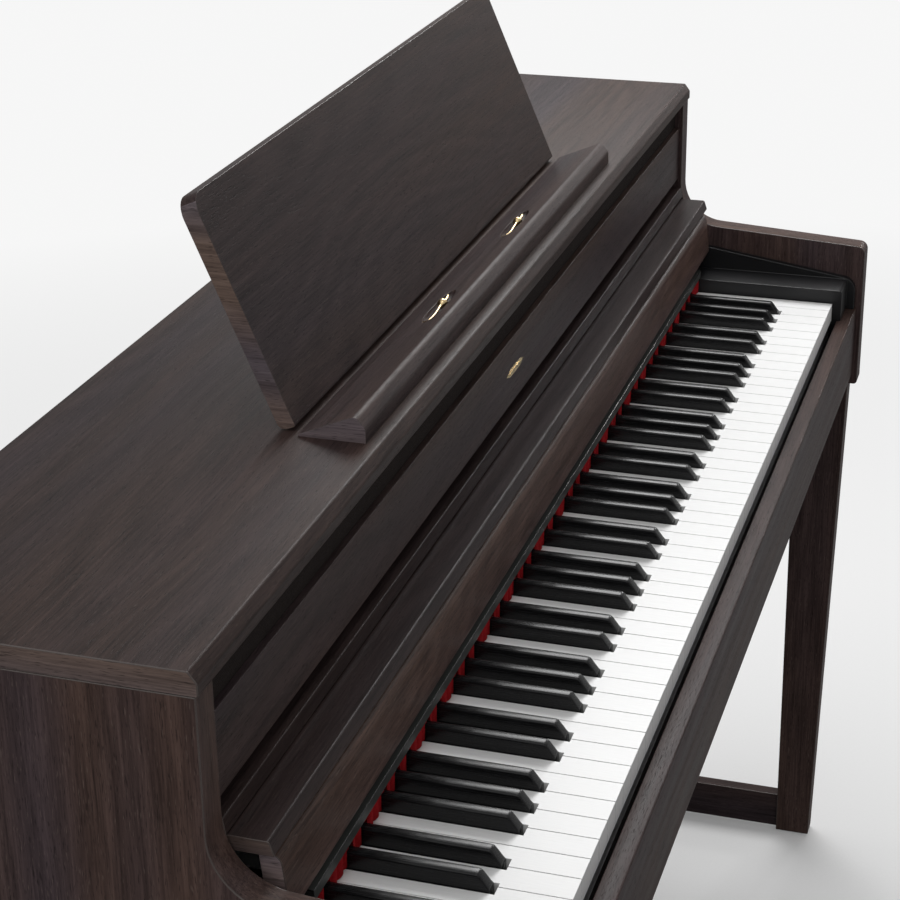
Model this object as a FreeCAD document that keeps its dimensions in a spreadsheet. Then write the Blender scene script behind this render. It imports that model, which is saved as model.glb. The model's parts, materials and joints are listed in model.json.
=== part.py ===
import FreeCAD, Part
import math
import os
import Sketcher

# Upright-style digital piano on its stand.  Millimetres, +Z up, the player sits at -Y,
# the treble end is +X, and the origin is on the floor at the middle of the cabinet.

SIZES = {
    # cabinet
    "cabinet_width": 1377.0,
    "cabinet_depth": 468.0,
    "top_height": 954.0,
    "side_board": 25.0,
    "top_board": 16.5,
    "top_front": -24.8,
    "top_nose": 5.6,
    "top_nose_drop": 7.5,
    "side_front": -23.0,
    "side_sweep": 46.0,
    "arm_rear_height": 800.0,
    "arm_front_height": 786.5,
    "arm_bottom": 622.0,
    "arm_corner": 9.0,
    "arm_heel": 4.0,
    "leg_sweep": 18.0,
    "board_back": 232.0,
    "back_bottom": 600.0,
    "back_board": 6.0,
    # stand
    "glide_height": 3.0,
    "leg_top_front": -224.2,
    "leg_top_rear": -165.2,
    "leg_foot_front": -210.2,
    "leg_foot_rear": -169.7,
    "rear_leg_top": 123.0,
    "rear_leg_foot": 135.0,
    "foot_rail_inset": 4.5,
    "foot_rail_bottom": 6.0,
    "foot_rail_top": 52.0,
    "front_glide_front": -205.0,
    "front_glide_rear": -175.0,
    "rear_glide_front": 145.0,
    "rear_glide_rear": 225.0,
    # keybed and key slip
    "keybed_bottom": 634.5,
    "keybed_board": 18.0,
    "slip_front": -228.2,
    "slip_rear": -212.6,
    "slip_top": 715.5,
    # keyboard
    "white_top": 735.5,
    "white_front": -207.2,
    "white_depth": 19.5,
    "key_pitch": 23.55,
    "key_gap": 1.0,
    "notch_front": -157.4,
    "black_front": -154.7,
    "black_height": 12.0,
    "black_base": 11.0,
    "black_crown": 9.5,
    "black_slope": 8.5,
    "black_gap": 1.0,
    "key_rear": 28.0,
    "pivot_depth": 18.0,
    "pivot_height": 724.0,
    "pivot_radius": 2.0,
    "running_gap": 0.06,
    # upper front
    "panel_front": -19.2,
    "panel_board": 16.0,
    "panel_bottom": 850.5,
    "panel_top": 909.5,
    "cloth_front": -14.0,
    "cloth_board": 3.0,
    "trim_top": 840.5,
    "trim_bottom": 829.3,
    "trim_front": -24.8,
    "trim_rear": -10.0,
    "trim_lean": 1.9,
    # sliding lid
    "lid_half": 661.0,
    "lid_top": 828.0,
    "lid_bottom": 817.5,
    "lid_nose": -54.2,
    "lid_nose_lean": 3.4,
    "drop_half": 653.5,
    "drop_gap": 4.0,
    "drop_batten": 8.0,
    "lid_rear": 166.0,
    "drop_bottom": 769.4,
    "drop_lean": 5.2,
    "drop_front": -59.9,
    "drop_board": 15.0,
    "drop_shoulder": 7.0,
    "drop_round": 3.0,
    "lid_slope": 5.9,
    "roller_radius": 3.0,
    "roller_end": 668.0,
    "roller_rear": 161.0,
    "roller_spacing": 24.0,
    "roller_height": 824.8,
    "guide_front": -32.0,
    "guide_length": 202.0,
    "guide_half": 6.5,
    "guide_depth": 6.0,
    "guide_wall": 3.0,
    "guide_clearance": 0.3,
    # felt strip and key blocks
    "felt_front": -57.2,
    "felt_thick": 6.0,
    "felt_bottom": 736.3,
    "felt_top": 753.0,
    "felt_rail_top": 761.5,
    "felt_rail_front": -58.6,
    "felt_rail_board": 8.0,
    "felt_end_gap": 0.5,
    "block_inner": 613.5,
    "block_outer": 655.0,
    "block_front": -217.0,
    "block_rear": -45.0,
    "block_top": 750.5,
    "block_bottom": 652.5,
    "cheek_front": -226.0,
    "cheek_low": 750.2,
    "cheek_high": 777.3,
    "cheek_round": 15.0,
    # key frame
    "front_rail_front": -205.0,
    "front_rail_rear": -165.0,
    "front_rail_top": 700.0,
    "rear_rail_front": 4.0,
    "rear_rail_rear": 32.0,
    "rear_rail_top": 708.0,
    "post_front": 6.0,
    "post_rear": 30.0,
    "post_top": 732.0,
    "post_width": 10.0,
    "post_foot_top": 706.0,
    "tie_half": 20.0,
    "tie_top": 660.0,
    "pivot_half": 622.5,
    # controls in the bass key block
    "control_x": -634.0,
    "power_y": -72.0,
    "power_radius": 5.0,
    "volume_y": -98.0,
    "volume_radius": 9.0,
    "volume_shaft": 3.0,
    "display_front": -142.0,
    "display_rear": -118.0,
    "display_half": 15.0,
    "display_thick": 2.0,
    "button_1_front": -166.0,
    "button_2_front": -186.0,
    "button_length": 8.0,
    "button_half": 7.0,
    "button_fit": 0.3,
    "control_depth": 11.0,
    # music desk
    "ledge_half": 360.0,
    "ledge_front": -9.7,
    "ledge_ridge": -2.4,
    "ledge_rear": 41.0,
    "ledge_rise": 20.0,
    "ledge_step": 11.0,
    "ledge_round": 5.0,
    "ledge_slope": 22.75,
    "rest_half": 353.0,
    "rest_thick": 13.0,
    "rest_height": 178.0,
    "rest_lean": 22.8,
    "rest_pivot_y": 54.0,
    "rest_pivot_z": 961.5,
    "rest_corner": 14.0,
    "hinge_spacing": 250.0,
    "hinge_width": 24.0,
    "stay_height": 72.0,
    "stay_offset": 2.5,
    "stay_length": 88.0,
    "stay_angle": 52.1,
    "stay_width": 14.0,
    "stay_pin": 1.5,
    "holder_recess_length": 78.0,
    "holder_recess_width": 15.0,
    "holder_recess_depth": 6.5,
    "holder_centre": 111.0,
    "holder_depth": 16.0,
    "holder_arm": 31.0,
    "holder_sink": 2.2,
    "holder_pin": 1.3,
    "holder_pin_half": 5.5,
    # pedals
    "knee_front": 140.0,
    "knee_board": 16.0,
    "beam_front": 134.0,
    "beam_bottom": 20.0,
    "beam_top": 130.0,
    "pedal_box_half": 110.0,
    "pedal_box_front": 78.0,
    "pedal_box_top": 104.0,
    "pedal_wall": 4.0,
    "pedal_spacing": 62.0,
    "pedal_pivot_y": 112.0,
    "pedal_pivot_z": 51.0,
    "pedal_thick": 7.0,
    "pedal_bottom": 52.0,
    "pedal_tip": -22.0,
    "pedal_neck": 60.0,
    "pedal_cheek": 5.0,
    "pedal_half": 12.0,
    "pedal_tip_half": 15.0,
    "trunnion_radius": 3.0,
    "trunnion_half": 17.0,
    "adjuster_y": 92.0,
    "adjuster_radius": 13.0,
    "stud_radius": 5.0,
    # speakers under the keybed
    "speaker_x": 420.0,
    "speaker_y": 76.0,
    "speaker_hole": 50.0,
    "speaker_flange": 60.0,
    "flange_thick": 6.0,
    "basket_height": 44.0,
    "magnet_radius": 34.0,
    "magnet_height": 22.0,
    # circuit board, power inlet, headphone jacks
    "card_left": -320.0,
    "card_right": -120.0,
    "card_front": 100.0,
    "card_thick": 2.0,
    "card_top": 740.0,
    "inlet_left": 480.0,
    "inlet_right": 512.0,
    "inlet_low": 700.0,
    "inlet_high": 722.0,
    "inlet_front": 204.0,
    "inlet_rear": 233.0,
    "inlet_gap": 0.5,
    "jack_box_left": -652.0,
    "jack_box_right": -572.0,
    "jack_box_front": -200.0,
    "jack_box_rear": -120.0,
    "jack_box_bottom": 604.5,
    "jack_height": 619.0,
    "large_jack_x": -632.0,
    "large_jack_radius": 3.2,
    "small_jack_x": -596.0,
    "small_jack_radius": 1.8,
}

doc = FreeCAD.newDocument("DigitalPiano")
sheet = doc.addObject("Spreadsheet::Sheet", "Sizes")
for row, (alias, number) in enumerate(SIZES.items(), start=1):
    sheet.set(f"A{row}", alias)
    sheet.set(f"B{row}", str(number))
    sheet.setAlias(f"B{row}", alias)
doc.recompute()


class Size:
    """A length or angle that carries its number and the sheet expression behind it."""

    def __init__(self, number, text=None):
        self.number = float(number)
        self.text = text or repr(float(number))

    def __add__(self, other):
        other = as_size(other)
        return Size(self.number + other.number, f"({self.text} + {other.text})")

    def __sub__(self, other):
        other = as_size(other)
        return Size(self.number - other.number, f"({self.text} - {other.text})")

    def __mul__(self, other):
        other = as_size(other)
        return Size(self.number * other.number, f"({self.text} * {other.text})")

    def __truediv__(self, other):
        other = as_size(other)
        return Size(self.number / other.number, f"({self.text} / {other.text})")

    def __neg__(self):
        return Size(-self.number, f"(-1 * {self.text})")

    def __radd__(self, other):
        return as_size(other) + self

    def __rsub__(self, other):
        return as_size(other) - self


def as_size(quantity):
    return quantity if isinstance(quantity, Size) else Size(quantity)


def sine(angle):
    return Size(math.sin(math.radians(angle.number)), f"sin({angle.text})")


def cosine(angle):
    return Size(math.cos(math.radians(angle.number)), f"cos({angle.text})")


def tangent(angle):
    return Size(math.tan(math.radians(angle.number)), f"tan({angle.text})")


class Cells:
    """The sheet's cells, by alias."""


cells = Cells()
for alias in SIZES:
    setattr(cells, alias, Size(sheet.get(alias), f"Sizes.{alias}"))

half_width = cells.cabinet_width / 2
inner_half = half_width - cells.side_board
top_under = cells.top_height - cells.top_board
keybed_top = cells.keybed_bottom + cells.keybed_board
back = cells.cabinet_depth / 2
sheet_front = cells.board_back - cells.back_board
block_end = cells.block_inner - cells.felt_end_gap
overshoot = 5.0  # how far a cutting tool runs past the material it cuts

sub_parts = {}
TO_X = FreeCAD.Rotation(FreeCAD.Vector(0, 1, 0), 90)
TO_Y = FreeCAD.Rotation(FreeCAD.Vector(1, 0, 0), -90)
TO_Z = FreeCAD.Rotation()
TURN = {"x": TO_X, "y": TO_Y, "z": TO_Z}


def bind(item, path, quantity):
    item.setExpression(path, as_size(quantity).text)


def place(item, x=0.0, y=0.0, z=0.0):
    for axis, quantity in zip("xyz", (x, y, z)):
        bind(item, f"Placement.Base.{axis}", quantity)


def tilt(item, angle):
    """Turn an item about the X axis through its own base point; the angle follows the sheet."""
    item.Placement = FreeCAD.Placement(item.Placement.Base, FreeCAD.Rotation(FreeCAD.Vector(1, 0, 0), 1))
    bind(item, "Placement.Rotation.Angle", angle)


def keep(label, item):
    """Register an item as the sub-part of this name."""
    item.Label = label
    sub_parts[label] = item
    return item


def block(name, x_span, y_span, z_span):
    box = doc.addObject("Part::Box", name)
    for side, span in zip(("Length", "Width", "Height"), (x_span, y_span, z_span)):
        bind(box, side, as_size(span[1]) - span[0])
    place(box, x_span[0], y_span[0], z_span[0])
    return box


def rod(name, axis, start, radius, length):
    cylinder = doc.addObject("Part::Cylinder", name)
    cylinder.Placement = FreeCAD.Placement(FreeCAD.Vector(), TURN[axis])
    bind(cylinder, "Radius", radius)
    bind(cylinder, "Height", length)
    place(cylinder, *start)
    return cylinder


def cone(name, start, low_radius, high_radius, height):
    frustum = doc.addObject("Part::Cone", name)
    bind(frustum, "Radius1", low_radius)
    bind(frustum, "Radius2", high_radius)
    bind(frustum, "Height", height)
    place(frustum, *start)
    return frustum


def fuse(name, pieces):
    union = doc.addObject("Part::MultiFuse", name)
    union.Shapes = pieces
    return union


def cut(name, base, tools):
    """Take one or more tools away from a base."""
    tool = tools[0] if len(tools) == 1 else fuse(f"{name}_tools", tools)
    result = doc.addObject("Part::Cut", name)
    result.Base = base
    result.Tool = tool
    return result


def group(name, pieces):
    """Separate solids that share one node."""
    compound = doc.addObject("Part::Compound", name)
    compound.Links = pieces
    return compound


PLANES = {"YZ": ("YZ_Plane", "x"), "XY": ("XY_Plane", "z")}


def prism(name, plane, outline, low, high, rounds=()):
    """A padded sketch.  outline holds the corners as pairs of sizes in the plane, low and high are
    the two ends along its normal, and rounds lists (corner number, radius) for long edges."""
    role, normal = PLANES[plane]
    body = doc.addObject("PartDesign::Body", name)
    sketch = body.newObject("Sketcher::SketchObject", f"{name}_outline")
    origin_plane = next(item for item in body.Origin.OriginFeatures if item.Role == role)
    sketch.AttachmentSupport = [(origin_plane, "")]
    sketch.MapMode = "FlatFace"
    outline = [(as_size(u), as_size(v)) for u, v in outline]
    corners = [FreeCAD.Vector(u.number, v.number, 0) for u, v in outline]
    for number, corner in enumerate(corners):
        following = corners[(number + 1) % len(corners)]
        sketch.addGeometry(Part.LineSegment(corner, following), False)
    for number, (u, v) in enumerate(outline):
        following = (number + 1) % len(corners)
        sketch.addConstraint(Sketcher.Constraint("Coincident", number, 2, following, 1))
        for kind, size in (("DistanceX", u), ("DistanceY", v)):
            index = sketch.addConstraint(Sketcher.Constraint(kind, -1, 1, number, 1, size.number))
            sketch.setExpression(f"Constraints[{index}]", size.text)
    pad = body.newObject("PartDesign::Pad", f"{name}_pad")
    pad.Profile = sketch
    bind(pad, "Length", as_size(high) - low)
    doc.recompute()
    base = pad
    for number, radius in rounds:
        base = round_edge(body, base, normal, corners[number], radius)
    bind(body, f"Placement.Base.{normal}", low)
    return body


def round_edge(body, base, normal, corner, radius):
    """Fillet the one long edge that stands on a corner of the outline."""
    def flat(point):
        return (point.y, point.z) if normal == "x" else (point.x, point.y)

    for number, edge in enumerate(base.Shape.Edges, start=1):
        ends = [flat(vertex.Point) for vertex in edge.Vertexes]
        if len(ends) == 2 and all(abs(u - corner.x) + abs(v - corner.y) < 1e-4 for u, v in ends):
            fillet = body.newObject("PartDesign::Fillet", f"{body.Name}_round")
            fillet.Base = (base, [f"Edge{number}"])
            bind(fillet, "Radius", radius)
            doc.recompute()
            return fillet
    raise ValueError(f"{body.Name}: no edge stands on corner {corner}")


def feature(name, shape):
    """A sub-part whose shape the sketches and primitives can't give."""
    item = doc.addObject("Part::Feature", name)
    item.Shape = shape
    item.Placement = FreeCAD.Placement()
    return item


def sides():
    """Bass side first; each side gives its name and its sign along X."""
    return (("left", -1), ("right", 1))


def span_on(sign, near, far):
    """The X span between two distances from the middle, on one side."""
    near = as_size(near)
    far = as_size(far)
    return (near, far) if sign > 0 else (-far, -near)


def line_at(first, second, height):
    """Depth at a height, on the straight line through two (depth, height) corners."""
    share = (as_size(height) - first[1]) / (as_size(second[1]) - first[1])
    return as_size(first[0]) + (as_size(second[0]) - first[0]) * share


# ---------------------------------------------------------------- cabinet and stand

def side_panels():
    outline = [
        (cells.board_back, cells.glide_height),
        (cells.board_back, top_under),
        (cells.side_front, top_under),
        (cells.side_front, cells.arm_rear_height),
        (-back, cells.arm_front_height),
        (-back, cells.arm_bottom),
        (cells.rear_leg_top, cells.arm_bottom),
        (cells.rear_leg_foot, cells.glide_height),
    ]
    rounds = [(3, cells.side_sweep), (4, cells.arm_corner), (5, cells.arm_heel), (6, cells.leg_sweep)]
    for side, sign in sides():
        span = span_on(sign, inner_half, half_width)
        board = prism(f"{side}_side_board", "YZ", outline, *span, rounds)
        groove = guide_bar(f"{side}_guide_groove", sign)
        stand_guide(groove)
        keep(f"{side}_side_panel", cut(f"{side}_side_panel", board, [groove]))


def guide_bar(name, sign):
    """The outside of one lid guide, drawn level."""
    x_span = span_on(sign, inner_half, inner_half + cells.guide_depth)
    return block(name, x_span, (0.0, cells.guide_length), (0.0, cells.guide_half * 2))


def stand_guide(item):
    """Put a guide, or the groove it sits in, on the lid's slope."""
    guide_height = cells.roller_height - (cells.roller_rear - cells.guide_front) * tangent(cells.lid_slope)
    guide_y = cells.guide_front + cells.guide_half * sine(cells.lid_slope)
    guide_z = guide_height - cells.guide_half * cosine(cells.lid_slope)
    bind(item, "Placement.Base.y", guide_y)
    bind(item, "Placement.Base.z", guide_z)
    tilt(item, cells.lid_slope)


def stand_legs():
    top = cells.arm_bottom
    foot = cells.glide_height
    front = [(cells.leg_top_front, top), (cells.leg_foot_front, foot)]
    rear = [(cells.leg_top_rear, top), (cells.leg_foot_rear, foot)]
    rear_leg = [(cells.rear_leg_top, top), (cells.rear_leg_foot, foot)]
    rail_low = cells.foot_rail_bottom
    rail_high = cells.foot_rail_top
    rail = [
        (line_at(rear[0], rear[1], rail_low), rail_low),
        (line_at(rear_leg[0], rear_leg[1], rail_low), rail_low),
        (line_at(rear_leg[0], rear_leg[1], rail_high), rail_high),
        (line_at(rear[0], rear[1], rail_high), rail_high),
    ]
    glides = []
    for side, sign in sides():
        span = span_on(sign, inner_half, half_width)
        inset_span = span_on(sign, inner_half + cells.foot_rail_inset, half_width - cells.foot_rail_inset)
        leg = prism(f"{side}_front_leg", "YZ", [front[0], rear[0], rear[1], front[1]], *span)
        keep(f"{side}_front_leg", leg)
        keep(f"{side}_foot_rail", prism(f"{side}_foot_rail", "YZ", rail, *inset_span))
        for leg_name, y_span in (
            ("front", (cells.front_glide_front, cells.front_glide_rear)),
            ("rear", (cells.rear_glide_front, cells.rear_glide_rear)),
        ):
            glides.append(block(f"{side}_{leg_name}_glide", inset_span, y_span, (0.0, foot)))
    keep("foot_glides", group("foot_glides_group", glides))


def top_board():
    outline = [
        (back, top_under),
        (back, cells.top_height),
        (cells.top_front + cells.top_nose, cells.top_height),
        (cells.top_front, cells.top_height - cells.top_nose_drop),
        (cells.top_front, top_under),
    ]
    rear_round = 1.5
    shoulder_round = 2.5
    nose_round = 4.0
    lip_round = 1.5
    rounds = [(1, rear_round), (2, shoulder_round), (3, nose_round), (4, lip_round)]
    board = prism("top_board", "YZ", outline, -half_width, half_width, rounds)
    keep("top_board", board)


def back_panel():
    wide = (-inner_half, inner_half)
    panel = block("back_sheet", wide, (sheet_front, cells.board_back), (cells.back_bottom, top_under))
    window_x = (cells.inlet_left - cells.inlet_gap, cells.inlet_right + cells.inlet_gap)
    window_y = (sheet_front - overshoot, cells.board_back + overshoot)
    window_z = (cells.inlet_low - cells.inlet_gap, cells.inlet_high + cells.inlet_gap)
    window = block("inlet_window", window_x, window_y, window_z)
    keep("back_panel", cut("back_panel", panel, [window]))


def keybed():
    y_span = (cells.slip_rear, sheet_front)
    board = block("keybed_board", (-inner_half, inner_half), y_span, (cells.keybed_bottom, keybed_top))
    hole_low = cells.keybed_bottom - overshoot
    hole_length = cells.keybed_board + overshoot * 2
    holes = []
    for side, sign in sides():
        start = (cells.speaker_x * sign, cells.speaker_y, hole_low)
        holes.append(rod(f"{side}_speaker_hole", "z", start, cells.speaker_hole, hole_length))
    keep("keybed", cut("keybed", board, holes))
    outline = [
        (cells.slip_rear, cells.keybed_bottom),
        (cells.slip_rear, cells.slip_top),
        (cells.slip_front, cells.slip_top),
        (cells.slip_front, cells.keybed_bottom),
    ]
    rear_round = 0.8
    front_round = 1.6
    rounds = [(1, rear_round), (2, front_round), (3, front_round)]
    keep("key_slip", prism("key_slip", "YZ", outline, -inner_half, inner_half, rounds))


def upper_front():
    wide = (-inner_half, inner_half)
    panel_rear = cells.panel_front + cells.panel_board
    outline = [
        (panel_rear, cells.panel_bottom),
        (panel_rear, cells.panel_top),
        (cells.panel_front, cells.panel_top),
        (cells.panel_front, cells.panel_bottom),
    ]
    upper_round = 0.8
    lower_round = 1.2
    panel = prism("front_panel", "YZ", outline, *wide, [(2, upper_round), (3, lower_round)])
    keep("front_panel", panel)
    cloth_rear = cells.cloth_front + cells.cloth_board
    cloth = block("speaker_cloth", wide, (cells.cloth_front, cloth_rear), (cells.panel_top, top_under))
    keep("speaker_cloth", cloth)
    outline = [
        (cells.trim_rear, cells.trim_bottom),
        (cells.trim_rear, cells.trim_top),
        (cells.trim_front + cells.trim_lean, cells.trim_top),
        (cells.trim_front, cells.trim_bottom),
    ]
    crest_round = 1.0
    foot_round = 0.8
    rail = prism("lid_trim_rail", "YZ", outline, *wide, [(2, crest_round), (3, foot_round)])
    keep("lid_trim_rail", rail)


# ---------------------------------------------------------------- sliding lid

def lid():
    """The lid's flat panel, and the front that hangs below it on a set-back batten."""
    outline = [
        (cells.lid_rear, cells.lid_bottom),
        (cells.lid_rear, cells.lid_top),
        (cells.lid_nose + cells.lid_nose_lean, cells.lid_top),
        (cells.lid_nose, cells.lid_bottom),
    ]
    nose_round = 2.5
    lip_round = 1.0
    rounds = [(2, nose_round), (3, lip_round)]
    keep("lid_panel", prism("lid_panel", "YZ", outline, -cells.lid_half, cells.lid_half, rounds))
    drop_top = cells.lid_bottom - cells.drop_gap
    top_front = cells.drop_front + cells.drop_lean
    batten_front = top_front + cells.drop_board - cells.drop_batten
    outline = [
        (cells.drop_front + cells.drop_board, cells.drop_bottom),
        (top_front + cells.drop_board, cells.lid_bottom),
        (batten_front, cells.lid_bottom),
        (batten_front, drop_top),
        (top_front, drop_top),
        (cells.drop_front, cells.drop_bottom),
    ]
    rounds = [(4, cells.drop_shoulder), (5, cells.drop_round), (0, cells.drop_round)]
    keep("lid_front", prism("lid_front", "YZ", outline, -cells.drop_half, cells.drop_half, rounds))


def lid_running_gear():
    """Rollers on the lid's ends, in sloping slots, so the lid drops a little as it comes forward."""
    fall = tangent(cells.lid_slope)
    front_roller = cells.roller_rear - cells.roller_spacing
    front_height = cells.roller_height - cells.roller_spacing * fall
    slot_half = cells.roller_radius + cells.guide_clearance
    slot_y = (cells.guide_wall, cells.guide_length - cells.guide_wall)
    slot_z = (cells.guide_half - slot_half, cells.guide_half + slot_half)
    rollers = []
    guides = []
    for side, sign in sides():
        x_span = span_on(sign, cells.lid_half, cells.roller_end)
        length = x_span[1] - x_span[0]
        rear_start = (x_span[0], cells.roller_rear, cells.roller_height)
        rollers.append(rod(f"{side}_rear_roller", "x", rear_start, cells.roller_radius, length))
        front_start = (x_span[0], front_roller, front_height)
        rollers.append(rod(f"{side}_front_roller", "x", front_start, cells.roller_radius, length))
        bar = guide_bar(f"{side}_guide_bar", sign)
        x_span = span_on(sign, inner_half, inner_half + cells.guide_depth)
        slot_x = (x_span[0] - 1.0, x_span[1] + 1.0)
        slot = block(f"{side}_guide_slot", slot_x, slot_y, slot_z)
        guide = cut(f"{side}_guide", bar, [slot])
        stand_guide(guide)
        guides.append(guide)
    keep("lid_rollers", group("lid_rollers_group", rollers))
    keep("lid_guides", group("lid_guides_group", guides))


# ---------------------------------------------------------------- keyboard

WHITE_LETTERS = {"c": 0, "d": 1, "e": 2, "f": 3, "g": 4, "a": 5, "b": 6}
BLACK_CENTRES = {"c_sharp": 0.900, "d_sharp": 2.100, "f_sharp": 3.857, "g_sharp": 5.000, "a_sharp": 6.143}
BLACK_LEFT_OF = {"d": "c_sharp", "e": "d_sharp", "g": "f_sharp", "a": "g_sharp", "b": "a_sharp"}
BLACK_RIGHT_OF = {"c": "c_sharp", "d": "d_sharp", "f": "f_sharp", "g": "g_sharp", "a": "a_sharp"}
LETTERS_IN_OCTAVE = 7
FIRST_WHITE = 5
LAST_WHITE = 56
MIDDLE_WHITE = 31
OCTAVES = 9


def unit_x(unit):
    """X of a place counted in white keys from the C below the lowest key."""
    return (unit - MIDDLE_WHITE) * cells.key_pitch.number


def white_units(letter):
    places = range(FIRST_WHITE, LAST_WHITE + 1)
    return [unit for unit in places if unit % LETTERS_IN_OCTAVE == WHITE_LETTERS[letter]]


def black_units(name):
    centre = BLACK_CENTRES[name]
    units = [octave * LETTERS_IN_OCTAVE + centre for octave in range(OCTAVES)]
    return [unit for unit in units if FIRST_WHITE < unit < LAST_WHITE]


def box_between(low, high):
    size = [b - a for a, b in zip(low, high)]
    return Part.makeBox(*size, FreeCAD.Vector(*low))


def bored(solid):
    """A key with the pivot rod's bore through it."""
    bounds = solid.BoundBox
    radius = cells.pivot_radius.number + cells.running_gap.number
    start = FreeCAD.Vector(bounds.XMin - 1, cells.pivot_depth.number, cells.pivot_height.number)
    return solid.cut(Part.makeCylinder(radius, bounds.XLength + 2, start, FreeCAD.Vector(1, 0, 0)))


def white_key(letter, unit):
    half_gap = cells.key_gap.number / 2
    notch = cells.black_base.number / 2 + cells.black_gap.number
    left = unit_x(unit) + half_gap
    right = unit_x(unit + 1) - half_gap
    octave_start = unit - WHITE_LETTERS[letter]
    rear_left = left
    rear_right = right
    if letter in BLACK_LEFT_OF and unit > FIRST_WHITE:
        rear_left = unit_x(octave_start + BLACK_CENTRES[BLACK_LEFT_OF[letter]]) + notch
    if letter in BLACK_RIGHT_OF and unit < LAST_WHITE:
        rear_right = unit_x(octave_start + BLACK_CENTRES[BLACK_RIGHT_OF[letter]]) - notch
    top = cells.white_top.number
    bottom = top - cells.white_depth.number
    neck = cells.notch_front.number
    head = box_between((left, cells.white_front.number, bottom), (right, neck, top))
    stick = box_between((rear_left, neck - 1, bottom), (rear_right, cells.key_rear.number, top))
    return bored(head.fuse(stick).removeSplitter())


def black_key(unit):
    centre = unit_x(unit)
    half_base = cells.black_base.number / 2
    half_crown = cells.black_crown.number / 2
    front = cells.black_front.number
    rear = cells.key_rear.number
    deck = cells.white_top.number
    bottom = deck - cells.white_depth.number

    def rectangle(half, start, height):
        left = centre - half
        right = centre + half
        corners = [(left, start), (right, start), (right, rear), (left, rear), (left, start)]
        return Part.makePolygon([FreeCAD.Vector(x, y, height) for x, y in corners])

    base = rectangle(half_base, front, deck)
    crown = rectangle(half_crown, front + cells.black_slope.number, deck + cells.black_height.number)
    cap = Part.makeLoft([base, crown], True, True)
    stick = box_between((centre - half_base, front, bottom), (centre + half_base, rear, deck))
    return bored(stick.fuse(cap).removeSplitter())


def keys():
    for letter in WHITE_LETTERS:
        solids = [white_key(letter, unit) for unit in white_units(letter)]
        keep(f"keys_{letter}", feature(f"keys_{letter}", Part.makeCompound(solids)))
    for name in BLACK_CENTRES:
        solids = [black_key(unit) for unit in black_units(name)]
        keep(f"keys_{name}", feature(f"keys_{name}", Part.makeCompound(solids)))


def key_felt():
    """Red felt strip across the keys, notched over each black key."""
    half = block_end.number
    front = cells.felt_front.number
    rear = front + cells.felt_thick.number
    strip = box_between((-half, front, cells.felt_bottom.number), (half, rear, cells.felt_top.number))
    side_room = 0.8
    top_room = 1.5
    notch_half = cells.black_base.number / 2 + side_room
    notch_top = cells.white_top.number + cells.black_height.number + top_room
    notches = []
    for name in BLACK_CENTRES:
        for unit in black_units(name):
            x = unit_x(unit)
            low = (x - notch_half, front - 1, cells.felt_bottom.number - 1)
            notches.append(box_between(low, (x + notch_half, rear + 1, notch_top)))
    keep("key_felt", feature("key_felt", strip.cut(Part.makeCompound(notches))))


def key_support():
    wide = (-block_end, block_end)
    rail_y = (cells.felt_rail_front, cells.felt_rail_front + cells.felt_rail_board)
    keep("felt_rail", block("felt_rail", wide, rail_y, (cells.felt_top, cells.felt_rail_top)))
    front_y = (cells.front_rail_front, cells.front_rail_rear)
    front_rail = block("key_front_rail", wide, front_y, (keybed_top, cells.front_rail_top))
    rear_y = (cells.rear_rail_front, cells.rear_rail_rear)
    rear_rail = block("key_rear_rail", wide, rear_y, (keybed_top, cells.rear_rail_top))
    post_y = (cells.post_front, cells.post_rear)
    foot_reach = 4.0
    foot_joint = 1.0
    posts = []
    for side, sign in sides():
        x_span = span_on(sign, cells.block_inner, cells.block_inner + cells.post_width)
        posts.append(block(f"{side}_pivot_post", x_span, post_y, (keybed_top, cells.post_top)))
        x_span = span_on(sign, cells.block_inner - foot_reach, cells.block_inner + foot_joint)
        posts.append(block(f"{side}_pivot_foot", x_span, post_y, (keybed_top, cells.post_foot_top)))
    tie_x = (-cells.tie_half, cells.tie_half)
    tie_y = (cells.front_rail_rear - overshoot, cells.rear_rail_front + overshoot)
    tie = block("key_frame_tie", tie_x, tie_y, (keybed_top, cells.tie_top))
    frame = fuse("key_frame_blank", [front_rail, rear_rail, tie] + posts)
    bore_half = cells.pivot_half + overshoot
    bore_start = (-bore_half, cells.pivot_depth, cells.pivot_height)
    bore = rod("pivot_bore", "x", bore_start, cells.pivot_radius, bore_half * 2)
    keep("key_frame", cut("key_frame", frame, [bore]))
    rod_start = (-cells.pivot_half, cells.pivot_depth, cells.pivot_height)
    pivot_rod = rod("key_pivot_rod", "x", rod_start, cells.pivot_radius, cells.pivot_half * 2)
    keep("key_pivot_rod", pivot_rod)


def key_block(side, sign):
    body_round = 3.0
    outline = [
        (cells.block_rear, cells.block_bottom),
        (cells.block_rear, cells.block_top),
        (cells.block_front, cells.block_top),
        (cells.block_front, cells.slip_top),
        (cells.slip_rear, cells.slip_top),
        (cells.slip_rear, cells.block_bottom),
    ]
    x_span = span_on(sign, cells.block_inner, cells.block_outer)
    body = prism(f"{side}_block_body", "YZ", outline, *x_span, [(2, body_round)])
    outline = [
        (cells.block_rear, cells.block_bottom),
        (cells.block_rear, cells.cheek_high),
        (cells.cheek_front, cells.cheek_low),
        (cells.cheek_front, cells.slip_top),
        (cells.slip_rear, cells.slip_top),
        (cells.slip_rear, cells.block_bottom),
    ]
    x_span = span_on(sign, cells.block_outer, inner_half)
    cheek = prism(f"{side}_block_cheek", "YZ", outline, *x_span, [(2, cells.cheek_round)])
    return fuse(f"{side}_block", [body, cheek])


# ---------------------------------------------------------------- controls in the bass key block

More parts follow.
